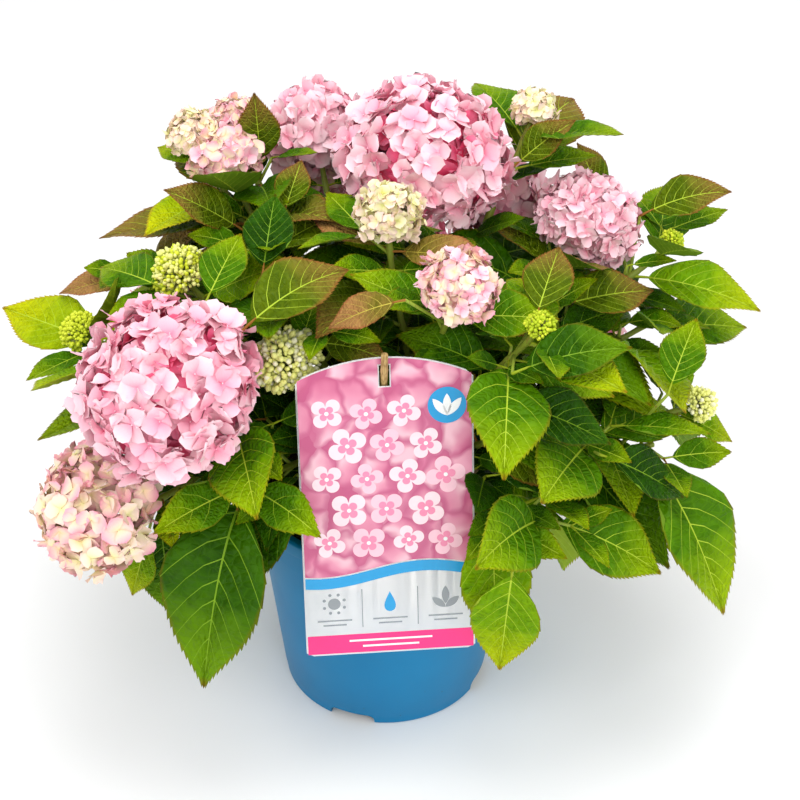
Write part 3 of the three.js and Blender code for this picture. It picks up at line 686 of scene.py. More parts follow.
CANES = [
    dict(name="front_left", bearing=-52, foot=36, shoots=[
        shoot(-59, 187, 361, 4, 160, 56, "full", 73, tints="fmmdd"),
        shoot(-48, 150, 280, 3, 185, 35, hang=12, first=1, tints="mdd")]),
    dict(name="low_right", bearing=56, foot=56, shoots=[
        shoot(46, 186, 262, 3, 155, 45, hang=3, first=0.7, tints="ffm"),
        shoot(38, 146, 262, 1, 150, -48, hang=14, first=1, tints="l")]),
    dict(name="low_left", bearing=-80, foot=52, shoots=[
        shoot(-64, 245, 256, 3, 118, 60, "pink", 54, hang=3, tints="lff"),
        shoot(-99, 251, 323, 3, 128, -16, "bud", 17, hang=0.3, rise=0.22, first=0.85,
              tints="ylf")]),
    dict(name="left", bearing=-106, foot=32, shoots=[
        shoot(-97, 162, 392, 4, 132, 4, "bud", 23, tints="llom"),
        shoot(-114, 226, 356, 3, 125, 30, tints="blf")]),
    dict(name="inner_left", bearing=-110, foot=12, shoots=[
        shoot(-112, 112, 405, 4, 140, 35, tints="omod"),
        shoot(-60, 66, 372, 3, 130, 100, tints="omd")]),
    dict(name="front", bearing=-22, foot=46, shoots=[
        shoot(-58, 90, 354, 3, 110, 100, "cream", 27, tints="fmd"),
        shoot(-36, 112, 262, 2, 140, 10, hang=5, first=0.8, tints="md")]),
    dict(name="back_left", bearing=-140, foot=42, shoots=[
        shoot(-134, 181, 436, 4, 160, -42, "blush", 30, rise=0.2, tints="oomf"),
        shoot(-132, 212, 450, 3, 130, 20, "cream", 22, first=0.5, tints="lyo"),
        shoot(-143, 206, 448, 2, 120, 60, "blush", 24, tints="fm")]),
    dict(name="low_back_left", bearing=-128, foot=56, shoots=[
        shoot(-130, 244, 256, 3, 135, 60, "pink", 46, tints="lfm")]),
    dict(name="back", bearing=-170, foot=46, shoots=[
        shoot(-163, 200, 424, 4, 130, 45, "pink", 45, tints="fmmd"),
        shoot(-168, 232, 360, 3, 130, 10, "blush", 36, tints="lfm")]),
    dict(name="top", bearing=170, foot=18, shoots=[
        shoot(165, 124, 436, 4, 140, 45, "full", 74, tints="fmdd")]),
    dict(name="middle", bearing=20, foot=18, shoots=[
        shoot(170, 26, 442, 4, 125, 60, "cream", 28, tints="bomd"),
        shoot(49, 76, 424, 4, 125, 20, "blush", 31, tints="fmmd")]),
    dict(name="back_right", bearing=138, foot=46, shoots=[
        shoot(142, 202, 462, 4, 150, 90, "cream", 20, rise=0.3, tints="fomm"),
        shoot(156, 240, 340, 3, 130, 50, "pink", 50, tints="lfm")]),
    dict(name="right_high", bearing=112, foot=30, shoots=[
        shoot(123, 200, 385, 4, 155, 90, "pink", 46, rise=0.25, tints="omfm"),
        shoot(110, 252, 380, 3, 132, 50, "bud", 10, rise=0.25, tints="flf")]),
    dict(name="inner_right", bearing=88, foot=14, shoots=[
        shoot(98, 150, 372, 4, 140, 40, tints="omdd"),
        shoot(103, 232, 330, 3, 130, 0, first=0.8, tints="flm")]),
    dict(name="front_right", bearing=42, foot=44, shoots=[
        shoot(61, 136, 398, 4, 150, -20, "bud", 12, tints="lfmm"),
        shoot(46, 112, 300, 3, 135, 15, hang=3, tints="omd")]),
    dict(name="right", bearing=84, foot=50, shoots=[
        shoot(89, 256, 281, 3, 110, 0, "bud", 15, first=0.55, tints="lff"),
        shoot(78, 222, 272, 1, 145, -35, hang=8, first=1, tints="f"),
        shoot(68, 186, 296, 2, 130, 60, hang=1.4, first=0.85, tints="fm")]),
    dict(name="low_back_right", bearing=126, foot=58, shoots=[
        shoot(134, 240, 250, 3, 135, 25, "blush", 40, tints="lfm")]),
    dict(name="low_back", bearing=176, foot=58, shoots=[
        shoot(178, 244, 262, 3, 135, 15, "pink", 56, tints="lfm"),
        shoot(-154, 246, 256, 2, 130, 65, "cream", 34, tints="lf")]),
]


def unit(vector):
    return vector / np.linalg.norm(vector)


def polar(bearing, reach, height):
    """The point at this bearing from the front, this far from the pot's axis, at this height."""
    a = math.radians(bearing)
    return np.array([reach * math.sin(a), -reach * math.cos(a), height])


def bloom_at(shoot):
    return polar(shoot["bearing"], shoot["reach"], shoot["height"])


def facing(shoot):
    """A bloom faces away from a point low in the middle of the clump."""
    return unit(bloom_at(shoot) - [0, 0, FOCUS_HEIGHT])


def cane_foot(cane):
    return polar(cane["bearing"], cane["foot"], COMPOST_TOP / MM + CLEARANCE)


def fork_of(cane):
    """Where a cane ends and its shoots begin: low over the rim, on the way to its blooms."""
    middle = np.mean([bloom_at(shoot) for shoot in cane["shoots"]], axis=0)
    out = math.hypot(middle[0], middle[1])
    height = COMPOST_TOP / MM + 26 + 0.16 * (middle[2] - COMPOST_TOP / MM)
    reach = max(cane["foot"] + 4, 0.36 * out)
    return np.array([middle[0] / out * reach, middle[1] / out * reach, height])


def fork_line(cane):
    return unit(unit(fork_of(cane) - cane_foot(cane)) + [0, 0, 0.6])


class Bend:
    """A cubic curve between two ends, told by shares of its length."""

    def __init__(self, *ends):
        self.ends = np.array(ends)
        self.times = np.linspace(0, 1, 201)
        steps = np.linalg.norm(np.diff(self.at(self.times), axis=0), axis=1)
        self.travel = np.concatenate([[0], np.cumsum(steps)])
        self.length = self.travel[-1]

    def at(self, time):
        t = np.asarray(time, float)[..., None]
        a, b, c, d = self.ends
        return (1 - t) ** 3 * a + 3 * (1 - t) ** 2 * t * b + 3 * (1 - t) * t ** 2 * c + t ** 3 * d

    def time(self, share):
        return np.interp(np.asarray(share) * self.length, self.travel, self.times)

    def point(self, share):
        return self.at(self.time(share))

    def way(self, share):
        t = float(self.time(share))
        return unit(self.at(min(1, t + 1e-4)) - self.at(max(0, t - 1e-4)))


def cane_parts(cane, index):
    """The cane with its joints, and the ridges of its peeling bark."""
    foot, fork, line = cane_foot(cane), fork_of(cane), fork_line(cane)
    curve = Bend(foot, foot + [0, 0, 14], fork - 14 * line, fork + 10 * line)
    shares = np.linspace(0, 1, CANE_STEPS)
    draw = np.random.default_rng(300 + index)
    ridges = draw.normal(size=(CANE_STEPS, CANE_SIDES))
    for _ in range(3):
        ridges = (ridges + np.roll(ridges, 1, 0) + np.roll(ridges, -1, 0)) / 3
    ridges += 0.35 * draw.normal(size=CANE_SIDES)
    radius = CANE_FOOT_RADIUS + (CANE_TIP_RADIUS - CANE_FOOT_RADIUS) * shares
    radius += CANE_FLARE * np.maximum(0, 1 - shares * 5)
    for joint in (0.42 + 0.08 * draw.random(), 0.8 + 0.06 * draw.random()):
        radius += 1.1 * np.exp(-((shares - joint) / 0.035) ** 2)
    radii = radius[:, None] + BARK_RELIEF * np.clip(ridges, -1.2, 1.2)
    return limb_part(curve.point(shares), radii, CANE_SIDES)


def cane_bark():
    """Two-year bark is thin, fawn and dull, splitting along the cane, with darker bark beneath."""
    material, tree, where = new_material("peeling_fawn_bark")
    long = put(tree, "Mapping", {"Vector": where, "Scale": (1, 1, 0.16)})
    strips = put(tree, "TexNoise", {"Vector": long, "Scale": 420, "Detail": 4})
    dots = put(tree, "TexVoronoi", {"Vector": where, "Scale": 300})
    colour = put(tree, "ValToRGB", {"Fac": strips}, ((0.34, "#5A4526"), (0.64, "#A89263")))
    lenticels = put(tree, "MapRange", {"Value": dots.outputs["Distance"], "From Min": 0.2,
                                       "From Max": 0.12})
    flecked = put(tree, "Mix", {0: lenticels, 6: colour, 7: "#3E2D1A"}, data_type="RGBA")
    relief = put(tree, "Bump", {"Height": strips, "Strength": 0.7, "Distance": 0.001})
    return surfaced(material, {"Base Color": flecked.outputs[2], "Roughness": 0.8,
                               "Normal": relief})


canes = joined("woody_canes", [cane_parts(cane, index) for index, cane in enumerate(CANES)],
               [cane_bark()])
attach(canes, "root")
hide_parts(*("cane_" + cane["name"] for cane in CANES))

# ---------------------------------------------------------------------------------- green shoots
# This year's shoots are green and round. They fork from the canes and curve up behind the blooms,
# a little swollen where each pair of leaves is set.

SHOOT_BASE_RADIUS = 3.2
SHOOT_TIP_RADIUS = 2.3
SHOOT_SIDES = 8
SHOOT_STEPS = 34
BLOOM_RISE = 0.9
BLOOM_UNDER = 0.76
LEAF_PETIOLE = 0.13
LEAF_HALF_WIDTH = 0.25
LEAF_KEEL = 0.13
LEAF_STATIONS = (0.44, 0.76)
LEAF_FIRST_DROP = 9
LEAF_PAIR_GAP = 36
LEAF_SPREAD = 72
LEAF_LEVEL = 0.4
LEAF_LIFT = 0.1
LEAF_SAG = 0.3
LOWEST_JOINT = 0.04
MOST_PAIRS = 5
LEAF_GAP = 0.7
BLADE_GAP = 0.2
BLADE_FROM = 0.2
LIGHT = np.array([0, -0.35, 1])
GIVES = [(0, 0, 1), (0, 0.3, 1), (16, 0.1, 1), (-16, 0.1, 1), (0, -0.25, 1), (30, 0.2, 1),
         (-30, 0.2, 1), (0, 0.7, 0.9), (24, 0.5, 0.85), (-24, 0.5, 0.85), (0, 0, 0.7),
         (40, 0.3, 0.7), (-40, 0.3, 0.7), (0, 0.9, 0.66)]


def shoot_curve(cane, shoot):
    start = fork_of(cane) + 6 * fork_line(cane)
    face = facing(shoot)
    end = bloom_at(shoot) - 0.3 * shoot["radius"] * face
    span = np.linalg.norm(start - end)
    return Bend(start, start + 0.35 * span * fork_line(cane), end - 0.35 * span * face, end)


def seeded(seed):
    """A seeded run of numbers from 0 to 1."""
    state = seed
    while True:
        state = state * 16807 % 2147483647
        yield state / 2147483647


def joints_of(shoot):
    """Where pairs of leaves are set, as shares of the shoot's length, from the top down."""
    drop = BLOOM_UNDER * shoot["radius"] * 0.7 + LEAF_FIRST_DROP
    for pair in range(shoot["pairs"]):
        yield 1 - drop / shoot["curve"].length
        drop += LEAF_PAIR_GAP * (0.75 + 0.35 * pair)


def place_on(shoot, share):
    """A place on a shoot: its point, and the ways along the stem, outward, beside and before it."""
    stem, out = shoot["curve"].way(share), unit(facing(shoot) * [1, 1, 0])
    side = unit(np.cross(stem, out))
    return dict(root=shoot["curve"].point(share), stem=stem, out=out, side=side,
                front=unit(np.cross(side, stem)))


def leaves_of(shoot, seed):
    """The opposite pairs of leaves down a shoot, each pair a quarter turn on from the last."""
    draw = seeded(seed)
    leaves = []
    for pair, share in enumerate(joints_of(shoot)):
        if share < LOWEST_JOINT:
            break
        grown_length = shoot["leaf"] * min(1, shoot["first"] + 0.2 * pair)
        for half in range(2):
            leaves.append(dict(
                place_on(shoot, share), pair=pair,
                angle=shoot["turn"] + 90 * pair + 180 * half + 24 * (next(draw) - 0.5),
                length=grown_length * (0.92 + 0.16 * next(draw)),
                spread=LEAF_SPREAD + 7 * pair + 12 * (next(draw) - 0.5),
                sag=LEAF_SAG * shoot["hang"] * (0.3 + 0.5 * pair + 0.8 * next(draw)),
                lift=LEAF_LIFT + shoot["rise"], roll=0.4 * (next(draw) - 0.5)))
    return leaves


def laid(leaf, give):
    """A leaf laid out with one of the ways of giving: turned, sagged or grown less."""
    angle, spread = math.radians(leaf["angle"] + give[0]), math.radians(leaf["spread"])
    heading = (leaf["front"] * math.cos(angle) * math.sin(spread)
               + leaf["side"] * math.sin(angle) * math.sin(spread)
               + leaf["stem"] * math.cos(spread))
    heading[2] = LEAF_LEVEL * heading[2] + leaf["lift"]
    heading = unit(heading)
    light = LIGHT + 0.35 * leaf["stem"] + 0.2 * leaf["out"]
    across = unit(np.cross(heading, light))
    across = unit(across + leaf["roll"] * np.cross(heading, across))
    return dict(leaf, heading=heading, across=across, sag=leaf["sag"] + give[1],
                length=leaf["length"] * give[2])


def midrib(leaf, shares):
    """At each share of a leaf's length: its midrib's point, and the ways along the midrib, across
    the blade and out of its face."""
    shares = np.asarray(shares, float)
    parts = (np.arange(8) + 0.5) / 8 * shares[:, None]
    ways = leaf["heading"] - leaf["sag"] * parts[..., None] * np.array([0, 0, 1])
    ways /= np.linalg.norm(ways, axis=2)[..., None]
    points = leaf["root"] + ways.sum(1) * (leaf["length"] * shares / 8)[:, None]
    way = leaf["heading"] - leaf["sag"] * shares[:, None] * np.array([0, 0, 1])
    way /= np.linalg.norm(way, axis=1)[:, None]
    across = leaf["across"] - way * (way @ leaf["across"])[:, None]
    across /= np.linalg.norm(across, axis=1)[:, None]
    return points, way, across, np.cross(across, way)


def outline(share):
    """The blade's half width, from 0 to 1, at this share of the way along it."""
    inside = np.clip(share, 1e-9, 1 - 1e-9)
    return np.where((share <= 0) | (share >= 1), 0, np.sin(np.pi * inside ** 0.82) ** 0.85)


def half_width(leaf, shares):
    blade = (np.asarray(shares) - LEAF_PETIOLE) / (1 - LEAF_PETIOLE)
    return LEAF_HALF_WIDTH * leaf["length"] * outline(blade)


def leaf_solid(leaf, extra=0.0, start=0.0):
    """The room a leaf takes, as a tree for telling what crosses it."""
    shares = np.array([start, *LEAF_STATIONS])
    points, _, across, face = midrib(leaf, [*shares, 1])
    half = np.maximum(2, half_width(leaf, shares)) + extra
    keel = np.maximum(1.6, LEAF_KEEL * half) + extra
    corners = []
    for k in range(3):
        corners += [points[k] - across[k] * half[k] + 0.5 * keel[k] * face[k],
                    points[k] + across[k] * half[k] + 0.5 * keel[k] * face[k],
                    points[k] - 0.5 * keel[k] * face[k]]
    corners.append(points[3])
    faces = [(0, 2, 1), (6, 7, 9), (7, 8, 9), (8, 6, 9)]
    for low in (0, 3):
        faces += [(low + k, low + (k + 1) % 3, low + 3 + (k + 1) % 3,
                   low + 3 + k) for k in range(3)]
    corners = np.array(corners)
    middle = corners.mean(0)
    size = np.linalg.norm(corners - middle, axis=1).max()
    return BVHTree.FromPolygons(corners.tolist(), faces), middle, size


def meets(solid, others):
    """True where a leaf's room crosses any of these."""
    tree, middle, size = solid
    return any(np.linalg.norm(middle - other[1]) < size + other[2] and tree.overlap(other[0])
               for other in others)


def solid_room(points, faces):
    points = np.asarray(points)
    middle = (points.min(0) + points.max(0)) / 2
    return (BVHTree.FromPolygons(points.tolist(), [list(map(int, face)) for face in faces]), middle,
            np.linalg.norm(points - middle, axis=1).max())


def node_room(name):
    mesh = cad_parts[name].data
    points = np.array([v.co for v in mesh.vertices]) / MM
    return solid_room(points, [face.vertices for face in mesh.polygons])


def upright_to(normal):
    """The turn that takes Z to this normal."""
    return Vector((0, 0, 1)).rotation_difference(Vector(normal)).to_matrix()


def room_of_shoot(shoot):
    """A shoot's twig and the ball of its bloom."""
    shares = np.linspace(0, 1, 7)
    twig, walls, ends = limb(shoot["curve"].point(shares), 3 - shares, 3)
    bm = bmesh.new()
    bmesh.ops.create_icosphere(bm, subdivisions=2, radius=0.97)
    ball, faces = prototype(bm)
    ball[:, 2] *= np.where(ball[:, 2] > 0, BLOOM_RISE, BLOOM_UNDER)
    turn = np.array(upright_to(facing(shoot)))
    ball = shoot["radius"] * ball @ turn.T + bloom_at(shoot)
    return [solid_room(twig, [*walls, *ends]), solid_room(ball, faces)]


SHOOTS = [(index, k, cane, shoot) for index, cane in enumerate(CANES)
          for k, shoot in enumerate(cane["shoots"])]
for index, k, cane, shoot in SHOOTS:
    shoot["curve"] = shoot_curve(cane, shoot)
BLOOM_PLACES = np.array([bloom_at(shoot) for *_, shoot in SHOOTS])
BLOOM_FACES = np.array([facing(shoot) for *_, shoot in SHOOTS])
BLOOM_SIZES = np.array([shoot["radius"] for *_, shoot in SHOOTS])
CARD_BACK = np.array(label_frame().inverted())


def occupied(points, swell=1.04):
    """True where any point is in the pot, the card or the space before it, or inside a bloom."""
    out = np.hypot(points[:, 0], points[:, 1])
    wall = np.maximum(RIM_RADIUS, wall_radius(points[:, 2] * MM)) / MM
    if np.any((points[:, 2] < POT_HEIGHT / MM + 6) & (out < wall + 5)):
        return True
    x, y, z = (points @ CARD_BACK[:3, :3].T + CARD_BACK[:3, 3]).T
    beyond = np.abs(x) - LABEL_WIDTH / 2
    level = (z > -30) & (z < LABEL_SIDE + LABEL_ARCH + 4)
    if np.any(level & (beyond < np.where(np.abs(y) < 5, 3, -14)) & (y < 5)):
        return True
    away = points[:, None] - BLOOM_PLACES
    up = (away * BLOOM_FACES).sum(2)
    aside = np.sqrt(np.maximum(0, (away ** 2).sum(2) - up ** 2))
    rise = np.where(up > 0, BLOOM_RISE, BLOOM_UNDER) * BLOOM_SIZES
    return bool(np.any(np.hypot(aside / BLOOM_SIZES, up / rise) < swell))


def probes(leaf):
    """Points over the blade, for telling what it would run into."""
    shares = np.array([0.3, 0.45, 0.6, 0.75, 0.9, 1])
    points, _, across, face = midrib(leaf, shares)
    half = half_width(leaf, shares)[:, None]
    return np.concatenate([points + across * side * half + face * abs(side) * half * 0.25
                           for side in (-0.9, 0, 0.9)])


standing = [node_room(name) for name in ("pot", "compost", "plant_label", "label_stake")]
standing += [node_room("cane_" + cane["name"]) for cane in CANES]
twig_rooms = [[room for shoot in cane["shoots"] for room in room_of_shoot(shoot)]
              for cane in CANES]
leaf_rooms = [[] for _ in CANES]
blade_rooms = [[] for _ in CANES]
grown = []


def foreign_to(index):
    """The rooms that a leaf of this cane keeps clear of: all but its own cane's growth."""
    return standing + [room for other, rooms in enumerate(twig_rooms) if other != index
                       for room in rooms + leaf_rooms[other]]


def grow_leaf(leaf, index, foreign, gives, tint, fine):
    """Sets a leaf in the first way of giving that keeps it clear. True where there is one."""
    for give in gives:
        tried = laid(leaf, give)
        if occupied(probes(tried)) or meets(leaf_solid(tried, LEAF_GAP), foreign):
            continue
        blade = leaf_solid(tried, BLADE_GAP, BLADE_FROM)
        if not meets(blade, blade_rooms[index]):
            leaf_rooms[index].append(leaf_solid(tried))
            blade_rooms[index].append(blade)
            grown.append(dict(tried, tint=tint, fine=fine))
            return True
    return False


for pair in range(MOST_PAIRS):
    for index, k, cane, shoot in SHOOTS:
        foreign = foreign_to(index)
        for leaf in leaves_of(shoot, 7919 * (index + 1) + 101 * (k + 1)):
            if leaf["pair"] == pair:
                grow_leaf(leaf, index, foreign, GIVES, shoot["tints"][pair], fine=False)

# Short side twigs sit above the main leaves and between them. Each ends in a pair of small young
# leaves, and one that would meet anything is left out. The cane behind the card is the bushiest.

TWIG_TRIES = 7
BUSHY_CANE = 4
BUSHY_TRIES = 10
TWIG_LENGTH = (9, 24)
TWIG_RADIUS = 1.3
TWIG_SIDES = 6
YOUNG_LEAF = (0.32, 0.56)
YOUNG_TINTS = "ffmmdddddd"
YOUNG_GIVES = [(0, 0, 1), (20, 0.2, 0.9), (-20, 0.2, 0.9), (0, 0.6, 0.8), (45, 0, 0.8),
               (-45, 0, 0.8), (0, 0, 0.62), (30, 0.6, 0.62), (-30, 0.6, 0.62)]
side_twigs = []
for index, k, cane, shoot in SHOOTS:
    draw = np.random.default_rng(5000 + 10 * index + k)
    foreign = foreign_to(index)
    lowest = max(0.06, 14 / shoot["curve"].length)
    highest = 1 - 0.62 * BLOOM_UNDER * shoot["radius"] / shoot["curve"].length - 0.02
    tries = BUSHY_TRIES if index == BUSHY_CANE else TWIG_TRIES
    for number in range(tries):
        share = highest - (highest - lowest) * (number + 0.6 * draw.random()) / tries
        root, stem, out, side, front = place_on(shoot, share).values()
        bearing = math.radians(shoot["turn"] + 137.5 * number + 40 * draw.random())
        way = unit(0.8 * (front * math.cos(bearing) + side * math.sin(bearing)) + 0.6 * stem)
        length = TWIG_LENGTH[0] + (TWIG_LENGTH[1] - TWIG_LENGTH[0]) * draw.random()
        end = root + way * length + [0, 0, 0.15 * length]
        grown_share = YOUNG_LEAF[0] + (YOUNG_LEAF[1] - YOUNG_LEAF[0]) * draw.random()
        if occupied(np.array([root + way * length * part for part in (0.5, 1)]), 1.0):
            continue
        twig_side = unit(np.cross(way, [0.1, 0.2, 1]))
        twig_front = unit(np.cross(twig_side, way))
        set_here = False
        for half in range(2):
            young = dict(root=end, stem=way, out=out, side=twig_side, front=twig_front,
                         angle=90 + 180 * half + 30 * (draw.random() - 0.5),
                         length=shoot["leaf"] * grown_share * (0.85 + 0.3 * draw.random()),
                         spread=48,
                         sag=LEAF_SAG * (0.4 + 0.8 * draw.random()), lift=0.15,
                         roll=0.5 * (draw.random() - 0.5))
            set_here |= grow_leaf(young, index, foreign, YOUNG_GIVES, YOUNG_TINTS[number],
                                  fine=True)
        if set_here:
            side_twigs.append((root, way, end))

# Some large leaves stand out from the rest, at the crown's edge and in front of it. Each is on a
# side twig of its own from the nearest shoot. A row is the leaf's root and tip, how much it hangs
# between them, and its tint.

STANDING_LEAVES = [
    ((-102, 138, 420), (-105, 135, 491), 0.1, "o"),
    ((211, 105, 393), (285, 105, 420), 0.6, "o"),
    ((188, 148, 378), (160, 150, 437), 0.15, "o"),
    ((105, 118, 431), (155, 125, 472), 0.3, "o"),
    ((-112, 70, 399), (-174, 60, 445), 0.3, "o"),
    ((-80, 60, 421), (-67, 110, 443), 0.1, "o"),
    ((-93, -18, 411), (-85, 50, 447), 0.3, "d"),
    ((-107, -75, 398), (-25, -18, 425), 0.7, "o"),
    ((-134, -52, 410), (-110, 10, 434), 0.2, "f"),
    ((17, -68, 423), (-41, -74, 400), 0.5, "b"),
    ((-65, -40, 359), (-52, 8, 381), 0.2, "f"),
    ((90, -65, 352), (9, -30, 368), 0.5, "m"),
    ((97, -95, 375), (187, -88, 396), 0.5, "m"),
    ((116, -50, 393), (138, 20, 416), 0.2, "o"),
    ((220, -65, 334), (246, -10, 369), 0.3, "f"),
    ((88, -100, 354), (174, -105, 313), 0.5, "d"),
    ((166, -102, 304), (236, -88, 248), 0.4, "d"),
    ((99, -166, 251), (91, -174, 146), 0.2, "l"),
    ((-173, 0, 390), (-231, 60, 371), 0.3, "f"),
    ((-186, -92, 223), (-204, -100, 158), 0.2, "l"),
    ((-179, -80, 221), (-175, -95, 134), 0.2, "m"),
]
shoot_points = np.concatenate([shoot["curve"].point(np.linspace(0.1, 0.8, 15))
                               for *_, shoot in SHOOTS])
for root, tip, sag, tint in STANDING_LEAVES:
    root = np.array(root, float)
    span = tip - root
    length = np.linalg.norm(span)
    heading = unit(span / length + [0, 0, sag / 2])
    grown.append(dict(root=root, heading=heading, across=unit(np.cross(heading, LIGHT)), sag=sag,
                      length=length, tint=tint, fine=False))
    start = shoot_points[np.linalg.norm(shoot_points - root, axis=1).argmin()]
    side_twigs.append((start, unit(root - start), root))


def shoot_part(shoot):
    """The shoot's stem, swollen at each pair of leaves."""
    shares = np.linspace(0, 1, SHOOT_STEPS)
    radius = SHOOT_BASE_RADIUS + (SHOOT_TIP_RADIUS - SHOOT_BASE_RADIUS) * shares
    for joint in joints_of(shoot):
        radius += 0.9 * np.exp(-((shares - joint) * shoot["curve"].length / 4) ** 2)
    return limb_part(shoot["curve"].point(shares), radius, SHOOT_SIDES)


def twig_part(root, way, end):
    middle = (root + end) / 2 + way * 1.5
    radii = [TWIG_RADIUS * 1.3, TWIG_RADIUS, TWIG_RADIUS]
    return limb_part([root, middle, end], radii, TWIG_SIDES, 1)


def stem_skin(name, low, high):
    """Living green bark: smooth and waxy, with short corky dashes."""
    material, tree, where = new_material(name)
    cloud = put(tree, "TexNoise", {"Vector": where, "Scale": 26, "Detail": 2})
    long = put(tree, "Mapping", {"Vector": where, "Scale": (1, 1, 0.3)})
    dashes = put(tree, "TexNoise", {"Vector": long, "Scale": 620, "Detail": 1})
    colour = put(tree, "Mix", {0: cloud, 6: low, 7: high}, data_type="RGBA")
    cork = put(tree, "MapRange", {"Value": dashes, "From Min": 0.62, "From Max": 0.7,
                                  "To Max": 0.6})
    flecked = put(tree, "Mix", {0: cork, 6: colour.outputs[2], 7: "#7A4E2A"}, data_type="RGBA")
    return surfaced(material, {"Base Color": flecked.outputs[2], "Roughness": 0.5, "IOR": 1.42})


stems = joined("green_shoots", [shoot_part(shoot) for *_, shoot in SHOOTS]
               + [twig_part(*twig) for twig in side_twigs],
               [stem_skin("green_shoot_bark", "#6E7A20", "#93A534"),
                stem_skin("young_twig_bark", "#7C9426", "#A3B63C")])
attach(stems, "root")
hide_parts(*("spray_" + cane["name"] for cane in CANES))

# ---------------------------------------------------------------------------------------- leaves
# Opposite pairs of broad ovate leaves with saw-toothed edges and a short stalk. The blade is folded
# along its midrib and quilted: it swells between sunken veins that are paler than the rest. The
# underside is pale and dull, with the veins standing out. Tints go by the shoot and by age.

VEINS_OLD = 8
VEINS_YOUNG = 4
VEIN_HALF = 0.0036
VEIN_SWEEP = 0.36
COLUMNS_OLD = np.array([0, 0.3, 0.6, 0.85, 1])
COLUMNS_YOUNG = np.array([0, 0.45, 0.8, 1])
BLADE_HALF = 0.262
YOUNG_HALF = 0.22
QUILT = 0.031
BLADE_THICKNESS = 0.8
TOOTH = (0.8, 0.0145)
STALK_SIDES = 5


def blade_edge(share):
    """The blade's half width, from 0 to 1: a wedge at the stalk, drawn out to a point."""
    inside = np.clip(share, 0, 1)
    return np.sin(np.pi * inside ** 0.85) * (1 - 0.45 * inside ** 4)


def blade_pattern(veins):
    """The rows across a blade, from its base: where each stands, and how far it is from a vein."""
    middles = 0.05 + 0.87 * (np.arange(veins) / veins) ** 0.92
    rows = [(0.0, 0, 0)]
    for number, middle in enumerate(middles):
        rows += [(middle, -1, 0), (middle, 1, 0)]
        after = middles[number + 1] if number + 1 < veins else 0.98
        rows.append(((middle + after) / 2, 0, 1))
    return np.array(rows)


